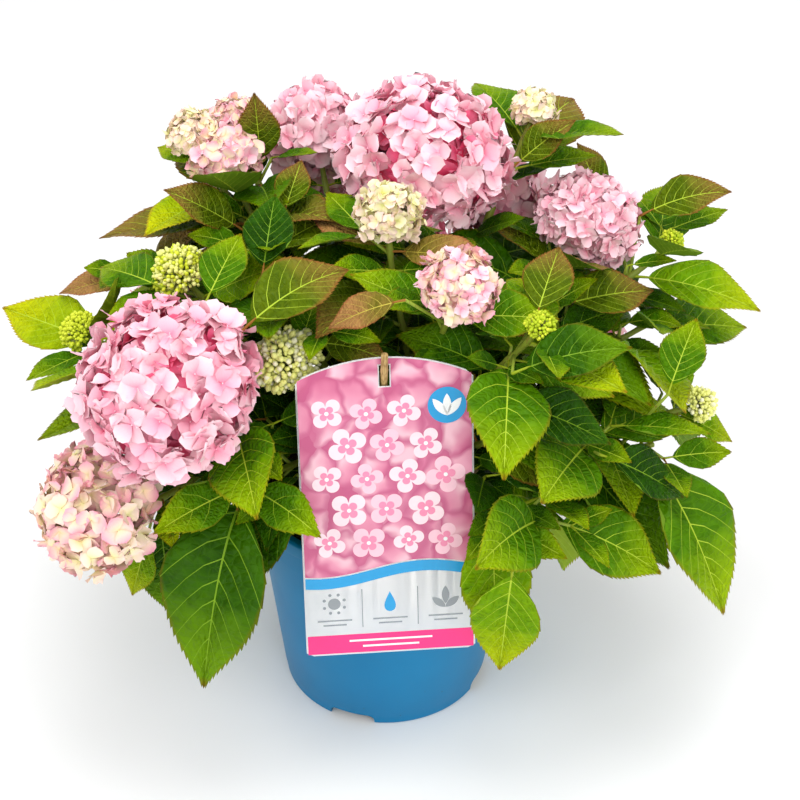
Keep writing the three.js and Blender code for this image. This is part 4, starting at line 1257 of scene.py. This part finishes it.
def leaf_part(leaf, slots):
    """Both faces of a leaf's blade, its veins and stalk. slots: blade, vein, under, stalk."""
    blade_slot, vein_slot, under_slot, stalk_slot = slots
    rows = blade_pattern(VEINS_YOUNG if leaf["fine"] else VEINS_OLD)
    columns = COLUMNS_YOUNG if leaf["fine"] else COLUMNS_OLD
    wide = len(columns)
    last = 2 * wide - 1
    draw = np.random.default_rng(leaf["seed"])
    size = leaf["length"]
    x = np.concatenate([-columns[::-1], columns])
    t = np.abs(x)
    side = np.concatenate([-np.ones(wide), np.ones(wide)])
    stand = rows[:, :1] + rows[:, 1:2] * VEIN_HALF * (1 - 0.7 * t)
    sweep = (VEIN_SWEEP * np.maximum(0, 1 - stand) ** 0.65
             * (0.35 + 0.65 * np.minimum(1, stand / 0.22)))
    along = np.clip(stand + sweep * t ** 1.4, 0, 1)
    widest = (YOUNG_HALF if leaf["fine"] else BLADE_HALF) * size
    half = widest * blade_edge(along[:, -1:])
    middle = 0.15 + 0.0055 * size * (1 - along)
    aside = side * (middle + np.maximum(0, half - middle) * t)
    panel = rows[:, 2:3]
    swell = QUILT * size * half / widest * panel * np.sin(np.pi * t ** 0.8) ** 0.7
    wave = 0.05 * half * t ** 2 * np.sin(math.tau * (1.6 + 0.6 * draw.random()) * along
                                         + math.tau * draw.random() + side)
    fold = half * (0.36 * t - 0.17 * t ** 2) * (0.8 + 0.5 * draw.random())
    high = fold + swell + wave - np.where(t == 0, 0.25, 0)

    shares = np.linspace(LEAF_PETIOLE, 1, 33)
    points, _, across, face = midrib(leaf, shares)
    spot = along * 32
    low = np.minimum(spot.astype(int), 31)
    part = (spot - low)[..., None]

    def between(values):
        return values[low] * (1 - part) + values[low + 1] * part

    top = between(points) + between(across) * aside[..., None] + between(face) * high[..., None]
    count = len(rows)
    under = top - between(face) * (BLADE_THICKNESS * (0.7 + 0.9 * (1 - panel)))[..., None]
    tip = midrib(leaf, [1])[0]
    teeth, tooth_v = [], []
    for column, inner in ((0, 1), (last, last - 1)):
        outward = top[:, column] - top[:, inner]
        outward /= np.linalg.norm(outward, axis=1)[:, None] + 1e-9
        ahead = top[1:, column] - top[:-1, column]
        grow = (TOOTH[0] + TOOTH[1] * size) * np.clip(np.linalg.norm(ahead, axis=1) / (0.03 * size),
                                                      0.15, 1)[:, None]
        teeth.append(top[:-1, column] + 0.78 * ahead + outward[1:] * grow * 0.8
                     + ahead / (np.linalg.norm(ahead, axis=1)[:, None] + 1e-9) * grow * 0.45)
        tooth_v.append((along[:-1, column] + along[1:, column]) / 2)

    upper = np.arange(count * (last + 1)).reshape(count, last + 1)
    lower = upper + upper.size
    lower[0], lower[:, 0], lower[:, last] = upper[0], upper[:, 0], upper[:, last]
    tip_at = 2 * upper.size
    tooth_at = tip_at + 1 + np.arange(2 * (count - 1)).reshape(2, count - 1)
    u = 0.5 + side * (0.02 + 0.98 * t) / 2
    u = np.broadcast_to(u, along.shape)
    places = np.stack([u, along], 2)
    flat = np.concatenate([places.reshape(-1, 2), places.reshape(-1, 2), [[0.5, 1]],
                           np.stack([np.zeros(count - 1), tooth_v[0]], 1),
                           np.stack([np.ones(count - 1), tooth_v[1]], 1)])
    skins = []

    def skin(faces, slot, flip=False):
        faces = np.roll(faces[..., ::-1], 1, axis=-1) if flip else faces
        faces = faces.reshape(-1, faces.shape[-1])
        skins.append((faces, np.broadcast_to(slot, len(faces)), flat[faces]))

    strip = (rows[:-1, 1] == -1)
    for grid, flip, body in ((upper, False, blade_slot), (lower, True, under_slot)):
        inner = np.stack([grid[:-1, 1:last - 1], grid[:-1, 2:last], grid[1:, 2:last],
                          grid[1:, 1:last - 1]], 2)
        slot = np.where(strip[:, None] | (np.arange(1, last - 1) == wide - 1), vein_slot, body)
        skin(inner, slot.ravel(), flip)
        for edge in (0, last - 1):
            corners = [grid[:-1, edge], grid[:-1, edge + 1], grid[1:, edge + 1], grid[1:, edge]]
            skin(np.stack(corners, 1), np.where(strip, vein_slot, body), flip)
        end = np.stack([grid[-1, :-1], grid[-1, 1:], np.full(last, tip_at)], 1)
        skin(end, body, flip)
    for edge, row, order in ((0, 0, (0, 2, 1)), (last, 1, (0, 1, 2))):
        corners = np.stack([upper[:-1, edge], tooth_at[row], upper[1:, edge]], 1)
        skin(corners[:, order], blade_slot)

    stalk_shares = np.linspace(0, LEAF_PETIOLE * 1.25, 5)
    line = midrib(leaf, stalk_shares)[0]
    thick = (0.45 + 0.0078 * size) * np.array([1.25, 1, 0.95, 0.85, 0.45])
    stalk, walls, ends = limb(line, thick, STALK_SIDES)
    start = len(flat)
    middle_place = np.array([0.5, 0.02])
    for faces in (walls, ends):
        skins.append((faces + start, np.full(len(faces), stalk_slot),
                      np.broadcast_to(middle_place, (*faces.shape, 2))))
    body = np.concatenate([top.reshape(-1, 3), under.reshape(-1, 3), tip, *teeth, stalk])
    return body, skins


def leaf_blade(name, dark, light, edge, edge_share, edge_depth, tip, tip_from):
    """A blade's upper face: waxy, with a fine net of veins. It pales towards the edge of each
    quilted panel, and colours at its teeth and its tip as it ages."""
    material, tree, where = new_material(name, "blade")
    apart = put(tree, "SeparateXYZ", {"Vector": where})
    from_rib = put(tree, "Math", {0: apart.outputs["X"], 1: 0.5}, operation="SUBTRACT")
    from_rib = put(tree, "Math", {0: from_rib}, operation="ABSOLUTE")
    stretched = put(tree, "Mapping", {"Vector": where, "Scale": (0.42, 1, 1)})
    cells = put(tree, "TexVoronoi", {"Vector": stretched, "Scale": 23, "Randomness": 0.8},
                feature="DISTANCE_TO_EDGE")
    cloud = put(tree, "TexNoise", {"Vector": stretched, "Scale": 5, "Detail": 3})
    tone = put(tree, "MapRange", {"Value": cloud, "From Min": 0.3, "From Max": 0.7})
    body = put(tree, "Mix", {0: tone, 6: dark, 7: light}, data_type="RGBA")
    net = put(tree, "MapRange", {"Value": cells.outputs["Distance"], "From Min": 0.1,
                                 "From Max": 0.0, "To Max": 0.38})
    netted = put(tree, "Mix", {0: net, 6: body.outputs[2], 7: light}, data_type="RGBA")
    ageing = put(tree, "Math", {0: cloud, 1: 0.25, 2: apart.outputs["Y"]},
                 operation="MULTIPLY_ADD")
    at_tip = put(tree, "MapRange", {"Value": ageing, "From Min": tip_from + 0.1,
                                    "From Max": tip_from + 0.45})
    tipped = put(tree, "Mix", {0: at_tip, 6: netted.outputs[2], 7: tip}, data_type="RGBA")
    at_edge = put(tree, "MapRange", {"Value": from_rib, "From Min": 0.5 - edge_share,
                                     "From Max": 0.5, "To Max": edge_depth})
    at_end = put(tree, "MapRange", {"Value": apart.outputs["Y"], "From Min": 0.93, "From Max": 1.0,
                                    "To Max": 0.85})
    rim = put(tree, "Math", {0: at_edge, 1: at_end}, operation="MAXIMUM")
    edged = put(tree, "Mix", {0: rim, 6: tipped.outputs[2], 7: edge}, data_type="RGBA")
    puckers = put(tree, "MapRange", {"Value": cells.outputs["Distance"], "From Max": 0.35})
    relief = put(tree, "Bump", {"Height": puckers, "Strength": 0.75, "Distance": 0.0018})
    return surfaced(material, {"Base Color": edged.outputs[2], "Roughness": 0.45, "IOR": 1.45,
                               "Specular IOR Level": 0.1, "Normal": relief})


def tissue(name, low, high, roughness, map_name=None):
    """Plain living tissue, such as a vein, a stalk or a bud: waxy, a little uneven in colour."""
    material, tree, where = new_material(name, map_name)
    scale, detail = (16, 2) if map_name else (90, 1)
    cloud = put(tree, "TexNoise", {"Vector": where, "Scale": scale, "Detail": detail})
    colour = put(tree, "Mix", {0: cloud, 6: low, 7: high}, data_type="RGBA")
    return surfaced(material, {"Base Color": colour.outputs[2], "Roughness": roughness,
                               "IOR": 1.42, "Specular IOR Level": 0.25})


TINTS = "dmflyob"
leaf_materials = [
    leaf_blade("blade_deep_green", "#143600", "#2A5600", "#6E5A08", 0.02, 0.3, "#386800", 0.6),
    leaf_blade("blade_mid_green", "#204700", "#3A6800", "#8A5A10", 0.025, 0.25, "#608800", 0.5),
    leaf_blade("blade_fresh_green", "#366300", "#568700", "#A5621A", 0.028, 0.25, "#88A700", 0.5),
    leaf_blade("blade_lime_green", "#588A00", "#7CA300", "#B0681C", 0.028, 0.25, "#A4B700", 0.5),
    leaf_blade("blade_yellow_green", "#85A300", "#A8BC00", "#BC7024", 0.03, 0.35, "#C0C600", 0.5),
    leaf_blade("blade_olive_bronzing", "#3C5600", "#647806", "#94502A", 0.045, 0.55, "#86702C",
               0.45),
    leaf_blade("blade_bronze", "#646612", "#937A34", "#9C5030", 0.05, 0.55, "#A87C48", 0.25),
    tissue("vein_green", "#6A9216", "#84A824", 0.5, "blade"),
    tissue("vein_yellow_green", "#A2BE2C", "#BAD03C", 0.5, "blade"),
    tissue("vein_straw", "#B4A63C", "#C8BA50", 0.5, "blade"),
    tissue("underside_pale_green", "#5F8416", "#7A9C24", 0.65, "blade"),
    tissue("underside_yellow_green", "#82A01C", "#9CB22C", 0.65, "blade"),
    tissue("leaf_stalk", "#84A218", "#9FA824", 0.5, "blade"),
    tissue("leaf_stalk_reddish", "#947828", "#A05C2C", 0.5, "blade")]
VEIN_OF = dict(d=7, m=7, f=8, l=8, y=8, o=8, b=9)
UNDER_OF = dict(d=10, m=10, f=10, l=11, y=11, o=10, b=11)

for number, leaf in enumerate(grown):
    leaf["seed"] = 9000 + number
for name, fine in (("leaves_grown", False), ("leaves_young", True)):
    parts = []
    for leaf in grown:
        if leaf["fine"] == fine:
            tint = leaf["tint"]
            stalk = 13 if tint in "ob" or leaf["seed"] % 7 == 0 else 12
            parts.append(leaf_part(leaf, (TINTS.index(tint), VEIN_OF[tint], UNDER_OF[tint],
                                          stalk)))
    leaves = joined(name, parts, leaf_materials, "blade", sharp=80)
    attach(leaves, "root")

# ---------------------------------------------------------------------------------------- blooms
# A mophead is a ball of sterile florets. Each floret has four overlapping papery sepals round a
# small bead, and sits on a thin stalk from the shoot's tip. They open cream and turn pink, and the
# youngest heads are still tight beads.

SEPAL_ROWS = ((0.04, 0.1), (0.28, 0.47), (0.56, 0.63), (0.84, 0.45), (1.04, 0.08))
SEPAL_COLUMNS = (-1, -0.4, 0.4, 1)

# shade is the tint of a head's inner pink florets: mostly a deeper pink, painted shade for gaps.
BLOOM_KINDS = {
    (0, 0): dict(count=200, floret=13.2, tints=(0, 0, 1, 1), shade=3),
    (9, 0): dict(count=200, floret=13.2, tints=(0, 0, 0, 1), shade=3),
    (8, 0): dict(count=110, floret=12, tints=(0, 0, 0, 1), shade=1),
    (12, 0): dict(count=200, floret=8.8, tints=(0, 0, 0, 1), shade=0),
    (2, 0): dict(count=130, floret=11, tints=(4, 5, 5, 4)),
    (10, 1): dict(count=100, floret=7.5, tints=(4, 5, 4, 0)),
    (10, 0): dict(count=90, floret=6.5, tints=(5, 5, 6, 6)),
    (6, 0): dict(count=100, floret=7.5, tints=(0, 4, 5, 4), shade=1),
    (6, 1): dict(count=70, floret=6, tints=(6, 5, 5, 5)),
    (6, 2): dict(count=80, floret=6.5, tints=(4, 0, 4, 5)),
    (7, 0): dict(count=90, floret=12, tints=(1, 2, 1, 0)),
    (8, 1): dict(count=100, floret=8.5, tints=(4, 0, 1, 4)),
    (11, 0): dict(count=60, floret=6, tints=(6, 5, 5, 6)),
    (11, 1): dict(count=100, floret=12, tints=(1, 2, 1, 0)),
    (16, 0): dict(count=110, floret=8.5, tints=(4, 0, 4, 1)),
    (17, 0): dict(count=110, floret=13, tints=(1, 2, 0, 1)),
    (17, 1): dict(count=100, floret=7.5, tints=(5, 6, 4, 5)),
}
BEAD_HEADS = {
    (5, 0): dict(count=430, bead=2.5, slots=(1, 1, 2)),
    (3, 0): dict(count=380, bead=2.0, slots=(0, 1, 1)),
    (2, 1): dict(count=260, bead=1.8, slots=(0, 0, 0)),
    (12, 1): dict(count=140, bead=1.5, slots=(3, 3, 0)),
    (14, 0): dict(count=170, bead=1.6, slots=(3, 3, 0)),
    (15, 0): dict(count=190, bead=1.9, slots=(1, 2, 1)),
}


def floret_shape(draw):
    """Four sepals in two overlapping pairs: points one unit across a sepal, faces and places."""
    points, faces, places = [], [], []
    for sepal in range(4):
        a = math.tau * sepal / 4 + 0.2 * draw.normal()
        tilt = 0.24 + 0.26 * draw.normal()
        twist = 0.28 * draw.normal()
        size = 1 + 0.1 * draw.normal()
        lift = 0.05 if sepal % 2 else 0
        start = len(points)
        cup = 0.24 + 0.24 * draw.normal()
        ruffle, phase = 0.05 + 0.05 * draw.random(), math.tau * draw.random()
        for along, half in SEPAL_ROWS:
            for x in SEPAL_COLUMNS:
                aside = x * half * size
                reach = along * size - 0.07 * x * x * along
                high = lift + tilt * reach - cup * 0.6 * reach ** 2 + twist * aside * along
                high += 0.16 * x * x * half + ruffle * math.sin(phase + 3 * x + 4 * along) * along
                points.append((reach * math.cos(a) - aside * math.sin(a),
                               reach * math.sin(a) + aside * math.cos(a), high))
                places.append((0.5 + x * half / 1.24, along))
        for row in range(4):
            for column in range(3):
                k = start + 4 * row + column
                faces.append((k, k + 4, k + 5, k + 1))
    return np.array(points), np.array(faces), np.array(places)


def bead_shape():
    bm = bmesh.new()
    bmesh.ops.create_icosphere(bm, subdivisions=1, radius=1)
    return prototype(bm)


def bud_shape():
    """A bud: round below, with a blunt four-sided point where its sepals meet."""
    bm = bmesh.new()
    bmesh.ops.create_cone(bm, cap_ends=True, segments=6, radius1=0.8, radius2=0.8, depth=0.7)
    for side, z in ((1, 0.85), (-1, -0.8)):
        cap = [face for face in bm.faces if len(face.verts) == 6
               and side * face.calc_center_median().z > 0.3]
        bmesh.ops.poke(bm, faces=cap)
        for v in bm.verts:
            if side * v.co.z > 0.3 and v.co.xy.length < 0.1:
                v.co.z = z
    return prototype(bm)


def spread_over(count):
    """Directions spread evenly over a ball, as seeds are on a sunflower."""
    k = np.arange(count) + 0.5
    z = 1 - 2 * k / count
    a = math.pi * (1 + 5 ** 0.5) * k
    ring = np.sqrt(1 - z ** 2)
    return np.stack([ring * np.cos(a), ring * np.sin(a), z], 1)


def aimed(normal, spin):
    """The turn that takes Z to this normal, after a spin about it."""
    return np.array(upright_to(normal) @ Matrix.Rotation(spin, 3, "Z"))


def head_points(shoot, count, lowest):
    """Where things sit on a head: directions in its own frame, and its turn to face outward."""
    ways = spread_over(count)
    ways = ways[ways[:, 2] > lowest]
    return ways, np.array(upright_to(facing(shoot)))


def on_head(shoot, way, share):
    """A point at this share of the way out to the head's surface."""
    return way * shoot["radius"] * share * [1, 1, BLOOM_RISE if way[2] > 0 else BLOOM_UNDER]


sepal_parts = dict(pink_left=[], pink_right=[], cream=[])
eye_parts, stalk_parts, bead_parts = [], [], []
eye_points, eye_faces = bead_shape()
bud_points, bud_faces = bud_shape()
shapes_draw = np.random.default_rng(77)
FLORETS = [floret_shape(shapes_draw) for _ in range(12)]


def stalk_to(shoot, end, slot):
    """A thin stalk from the head's heart to a floret."""
    heart = bloom_at(shoot) - 0.25 * shoot["radius"] * facing(shoot)
    start = heart + 0.28 * (end - heart)
    middle = (start + end) / 2 + facing(shoot) * 0.05 * shoot["radius"]
    stalk_parts.append(limb_part([start, middle, end], [0.8, 0.5, 0.5], 3, slot))


def grow_head(index, k, shoot, kind):
    """A head's florets: an outer layer that faces every way, and another that shows between."""
    draw = np.random.default_rng(2000 + 10 * index + k)
    ways, turn = head_points(shoot, kind["count"], -0.82)
    layers = [(way, 0.84 + 0.13 * draw.random(), 0.4, 0) for way in ways]
    inner = head_points(shoot, int(kind["count"] * 0.9), -0.8)[0]
    layers += [(unit(way + 0.1 * draw.normal(size=3)), 0.7 + 0.07 * draw.random(), 0.22, 1)
               for way in inner]
    for way, share, unrest, deep in layers:
        floret = kind["floret"] * (0.82 + 0.32 * draw.random())
        share -= floret / shoot["radius"] * 0.14
        own = on_head(shoot, unit(way + 0.06 * draw.normal(size=3)), share)
        spot = bloom_at(shoot) + turn @ own
        normal = unit(turn @ way + unrest * draw.normal(size=3))
        shape, faces, where = FLORETS[draw.integers(len(FLORETS))]
        bend = np.array([1, 1, 0.8 + 0.7 * draw.random()])
        points = spot + floret * (shape * bend) @ aimed(normal, math.tau * draw.random()).T
        tint = kind["tints"][draw.integers(4)]
        pink = tint < 4
        # Inner pink florets take the head's shade tint, a deeper pink painted as shade in the gaps.
        tint = kind.get("shade", 2) if pink and deep else tint
        group = ("pink_left" if bloom_at(shoot)[0] < 0 else "pink_right") if pink else "cream"
        sepal_parts[group].append((points, [(faces, tint, where[faces])]))
        eye = spot + normal * 0.06 * floret + 0.06 * floret * eye_points
        eye_parts.append((eye, [(eye_faces, 0 if pink else 1, None)]))
        if draw.random() < 0.6:
            stalk_to(shoot, spot - normal * 0.6, 0 if pink else 1)


def grow_beads(index, k, shoot, kind):
    """A head in bud: two layers of tight beads."""
    draw = np.random.default_rng(3000 + 10 * index + k)
    outer, turn = head_points(shoot, kind["count"], -0.6)
    inner = head_points(shoot, kind["count"] // 2, -0.5)[0]
    start = Vector((7.0 * index, 3.0 * k, 0))
    for way, share in [(way, 0.97) for way in outer] + [(way, 0.78) for way in inner]:
        way = unit(way + 0.06 * draw.normal(size=3))
        lump = 0.22 * noise.noise(start + 2.6 * Vector(way))
        own = on_head(shoot, way, share + lump - 0.12 * draw.random())
        size = kind["bead"] * (0.7 + 0.6 * draw.random())
        shape = bud_points * [size, size, size * 1.5]
        spot = bloom_at(shoot) + turn @ own
        normal = unit(turn @ way + 0.25 * draw.normal(size=3))
        bead_parts.append((spot + shape @ aimed(normal, 0).T,
                           [(bud_faces, kind["slots"][draw.integers(3)], None)]))
        if draw.random() < 0.5:
            stalk_to(shoot, spot, 1)


for index, k, cane, shoot in SHOOTS:
    if (index, k) in BLOOM_KINDS:
        grow_head(index, k, shoot, BLOOM_KINDS[index, k])
    elif (index, k) in BEAD_HEADS:
        grow_beads(index, k, shoot, BEAD_HEADS[index, k])


def sepal(name, body, centre, edge):
    """A papery sepal: matt and finely ribbed, deeper or creamier at its base than at its edge."""
    material, tree, where = new_material(name, "sepal")
    apart = put(tree, "SeparateXYZ", {"Vector": where})
    fan = put(tree, "Mapping", {"Vector": where, "Scale": (1, 0.12, 1)})
    ribs = put(tree, "TexNoise", {"Vector": fan, "Scale": 26, "Detail": 2})
    reach = put(tree, "Math", {0: ribs, 1: 0.2, 2: apart.outputs["Y"]}, operation="MULTIPLY_ADD")
    colour = put(tree, "ValToRGB", {"Fac": reach}, ((0.08, centre), (0.5, body), (1.0, edge)))
    relief = put(tree, "Bump", {"Height": ribs, "Strength": 0.3, "Distance": 0.0005})
    return surfaced(material, {"Base Color": colour, "Roughness": 0.6, "IOR": 1.4,
                               "Normal": relief})


sepal_materials = [
    sepal("sepal_pale_pink", "#FAC4D0", "#F092AE", "#FDD9E1"),
    sepal("sepal_pink", "#F8B0C3", "#EC7F9F", "#FAC6D2"),
    sepal("sepal_rose_pink", "#F498B4", "#E66C94", "#F8B2C6"),
    # The deep pink is painted shade: only the inner florets seen between the outer ones wear it.
    sepal("sepal_deep_pink_painted_shade", "#FC628E", "#EC4276", "#FC90B0"),
    sepal("sepal_shell", "#FAD8C8", "#F6E2B0", "#F5AEBE"),
    sepal("sepal_ivory", "#F9E8C6", "#EEE8A0", "#FBDCD0"),
    sepal("sepal_greenish_cream", "#F2EDB4", "#D8DD72", "#F7EECA")]
for group, parts in sepal_parts.items():
    sepals = joined("bloom_sepals_" + group, parts, sepal_materials, "sepal")
    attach(sepals, "root")

eyes = joined("bloom_eyes", eye_parts, [tissue("floret_eye_pink", "#F3B3C6", "#FBDDE4", 0.5),
                                        tissue("floret_eye_cream", "#E7DE96", "#F6EFC2", 0.5)])
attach(eyes, "root")

beads = joined("bud_beads", bead_parts, [
    tissue("bud_lime", "#CFDC2C", "#E6EC4C", 0.5),
    tissue("bud_cream_green", "#EAED76", "#F6F6A6", 0.5),
    tissue("bud_cream", "#F8F4C4", "#FCF9DE", 0.5),
    tissue("bud_green", "#A6BE1C", "#C6D634", 0.5)])
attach(beads, "root")

flower_stalks = joined("flower_stalks", stalk_parts, [
    tissue("flower_stalk_pink", "#E28FA8", "#EEB0BE", 0.55),
    tissue("flower_stalk_green", "#C3CC6E", "#DDE09A", 0.55)])
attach(flower_stalks, "root")

# ----------------------------------------------------------------------- floor, lights and camera
# A plain near-white floor, lit by a big soft key from the upper left, a fill from the right and a
# pale sky all round.

CAMERA_DISTANCE = 1.6
CAMERA_ELEVATION = 36
CAMERA_AIM = Vector((0.013, 0, 0.2816))
CAMERA_LENS = 88.3

bm = bmesh.new()
bmesh.ops.create_circle(bm, cap_ends=True, segments=96, radius=14)
floor_material, floor_tree, floor_where = new_material("matt_white_floor")
floor_cloud = put(floor_tree, "TexNoise", {"Vector": floor_where, "Scale": 3})
floor_tone = put(floor_tree, "Mix", {0: floor_cloud, 6: "#F4F4F4", 7: "#F7F7F7"}, data_type="RGBA")
surfaced(floor_material, {"Base Color": floor_tone.outputs[2], "Roughness": 0.9})
floor = place("floor", bm, [floor_material])

world = bpy.data.worlds.new("pale_sky")
bpy.context.scene.world = world
world.use_nodes = True
world.node_tree.nodes["Background"].inputs["Color"].default_value = (1, 1, 1, 1)
world.node_tree.nodes["Background"].inputs["Strength"].default_value = 0.75


def soft_light(name, spot, size, power):
    """A square soft box that faces the middle of the plant."""
    lamp = bpy.data.lights.new(name, "AREA")
    lamp.size = size
    lamp.energy = power
    holder = bpy.data.objects.new(name, lamp)
    holder.location = spot
    toward = Vector((0, 0, 0.25)) - Vector(spot)
    holder.rotation_euler = toward.to_track_quat("-Z", "Y").to_euler()
    bpy.context.collection.objects.link(holder)


soft_light("key_softbox", (-1.4, -1.5, 2.3), 1.1, 22)
soft_light("front_softbox", (0.5, -2.3, 1.7), 1.4, 17)
soft_light("fill_softbox", (1.9, -1.0, 1.3), 1.2, 8)
soft_light("top_softbox", (0.1, 0.1, 2.6), 1.4, 25)

elevation = math.radians(CAMERA_ELEVATION)
back = Vector((0, -math.cos(elevation), math.sin(elevation)))
camera = bpy.data.objects.new("camera", bpy.data.cameras.new("camera"))
camera.data.lens = CAMERA_LENS
camera.data.sensor_width = 36
camera.location = CAMERA_AIM + back * CAMERA_DISTANCE
camera.rotation_euler = (-back).to_track_quat("-Z", "Y").to_euler()
bpy.context.collection.objects.link(camera)
bpy.context.scene.camera = camera
bpy.context.scene.view_settings.view_transform = "Standard"
bpy.context.scene.view_settings.look = "None"
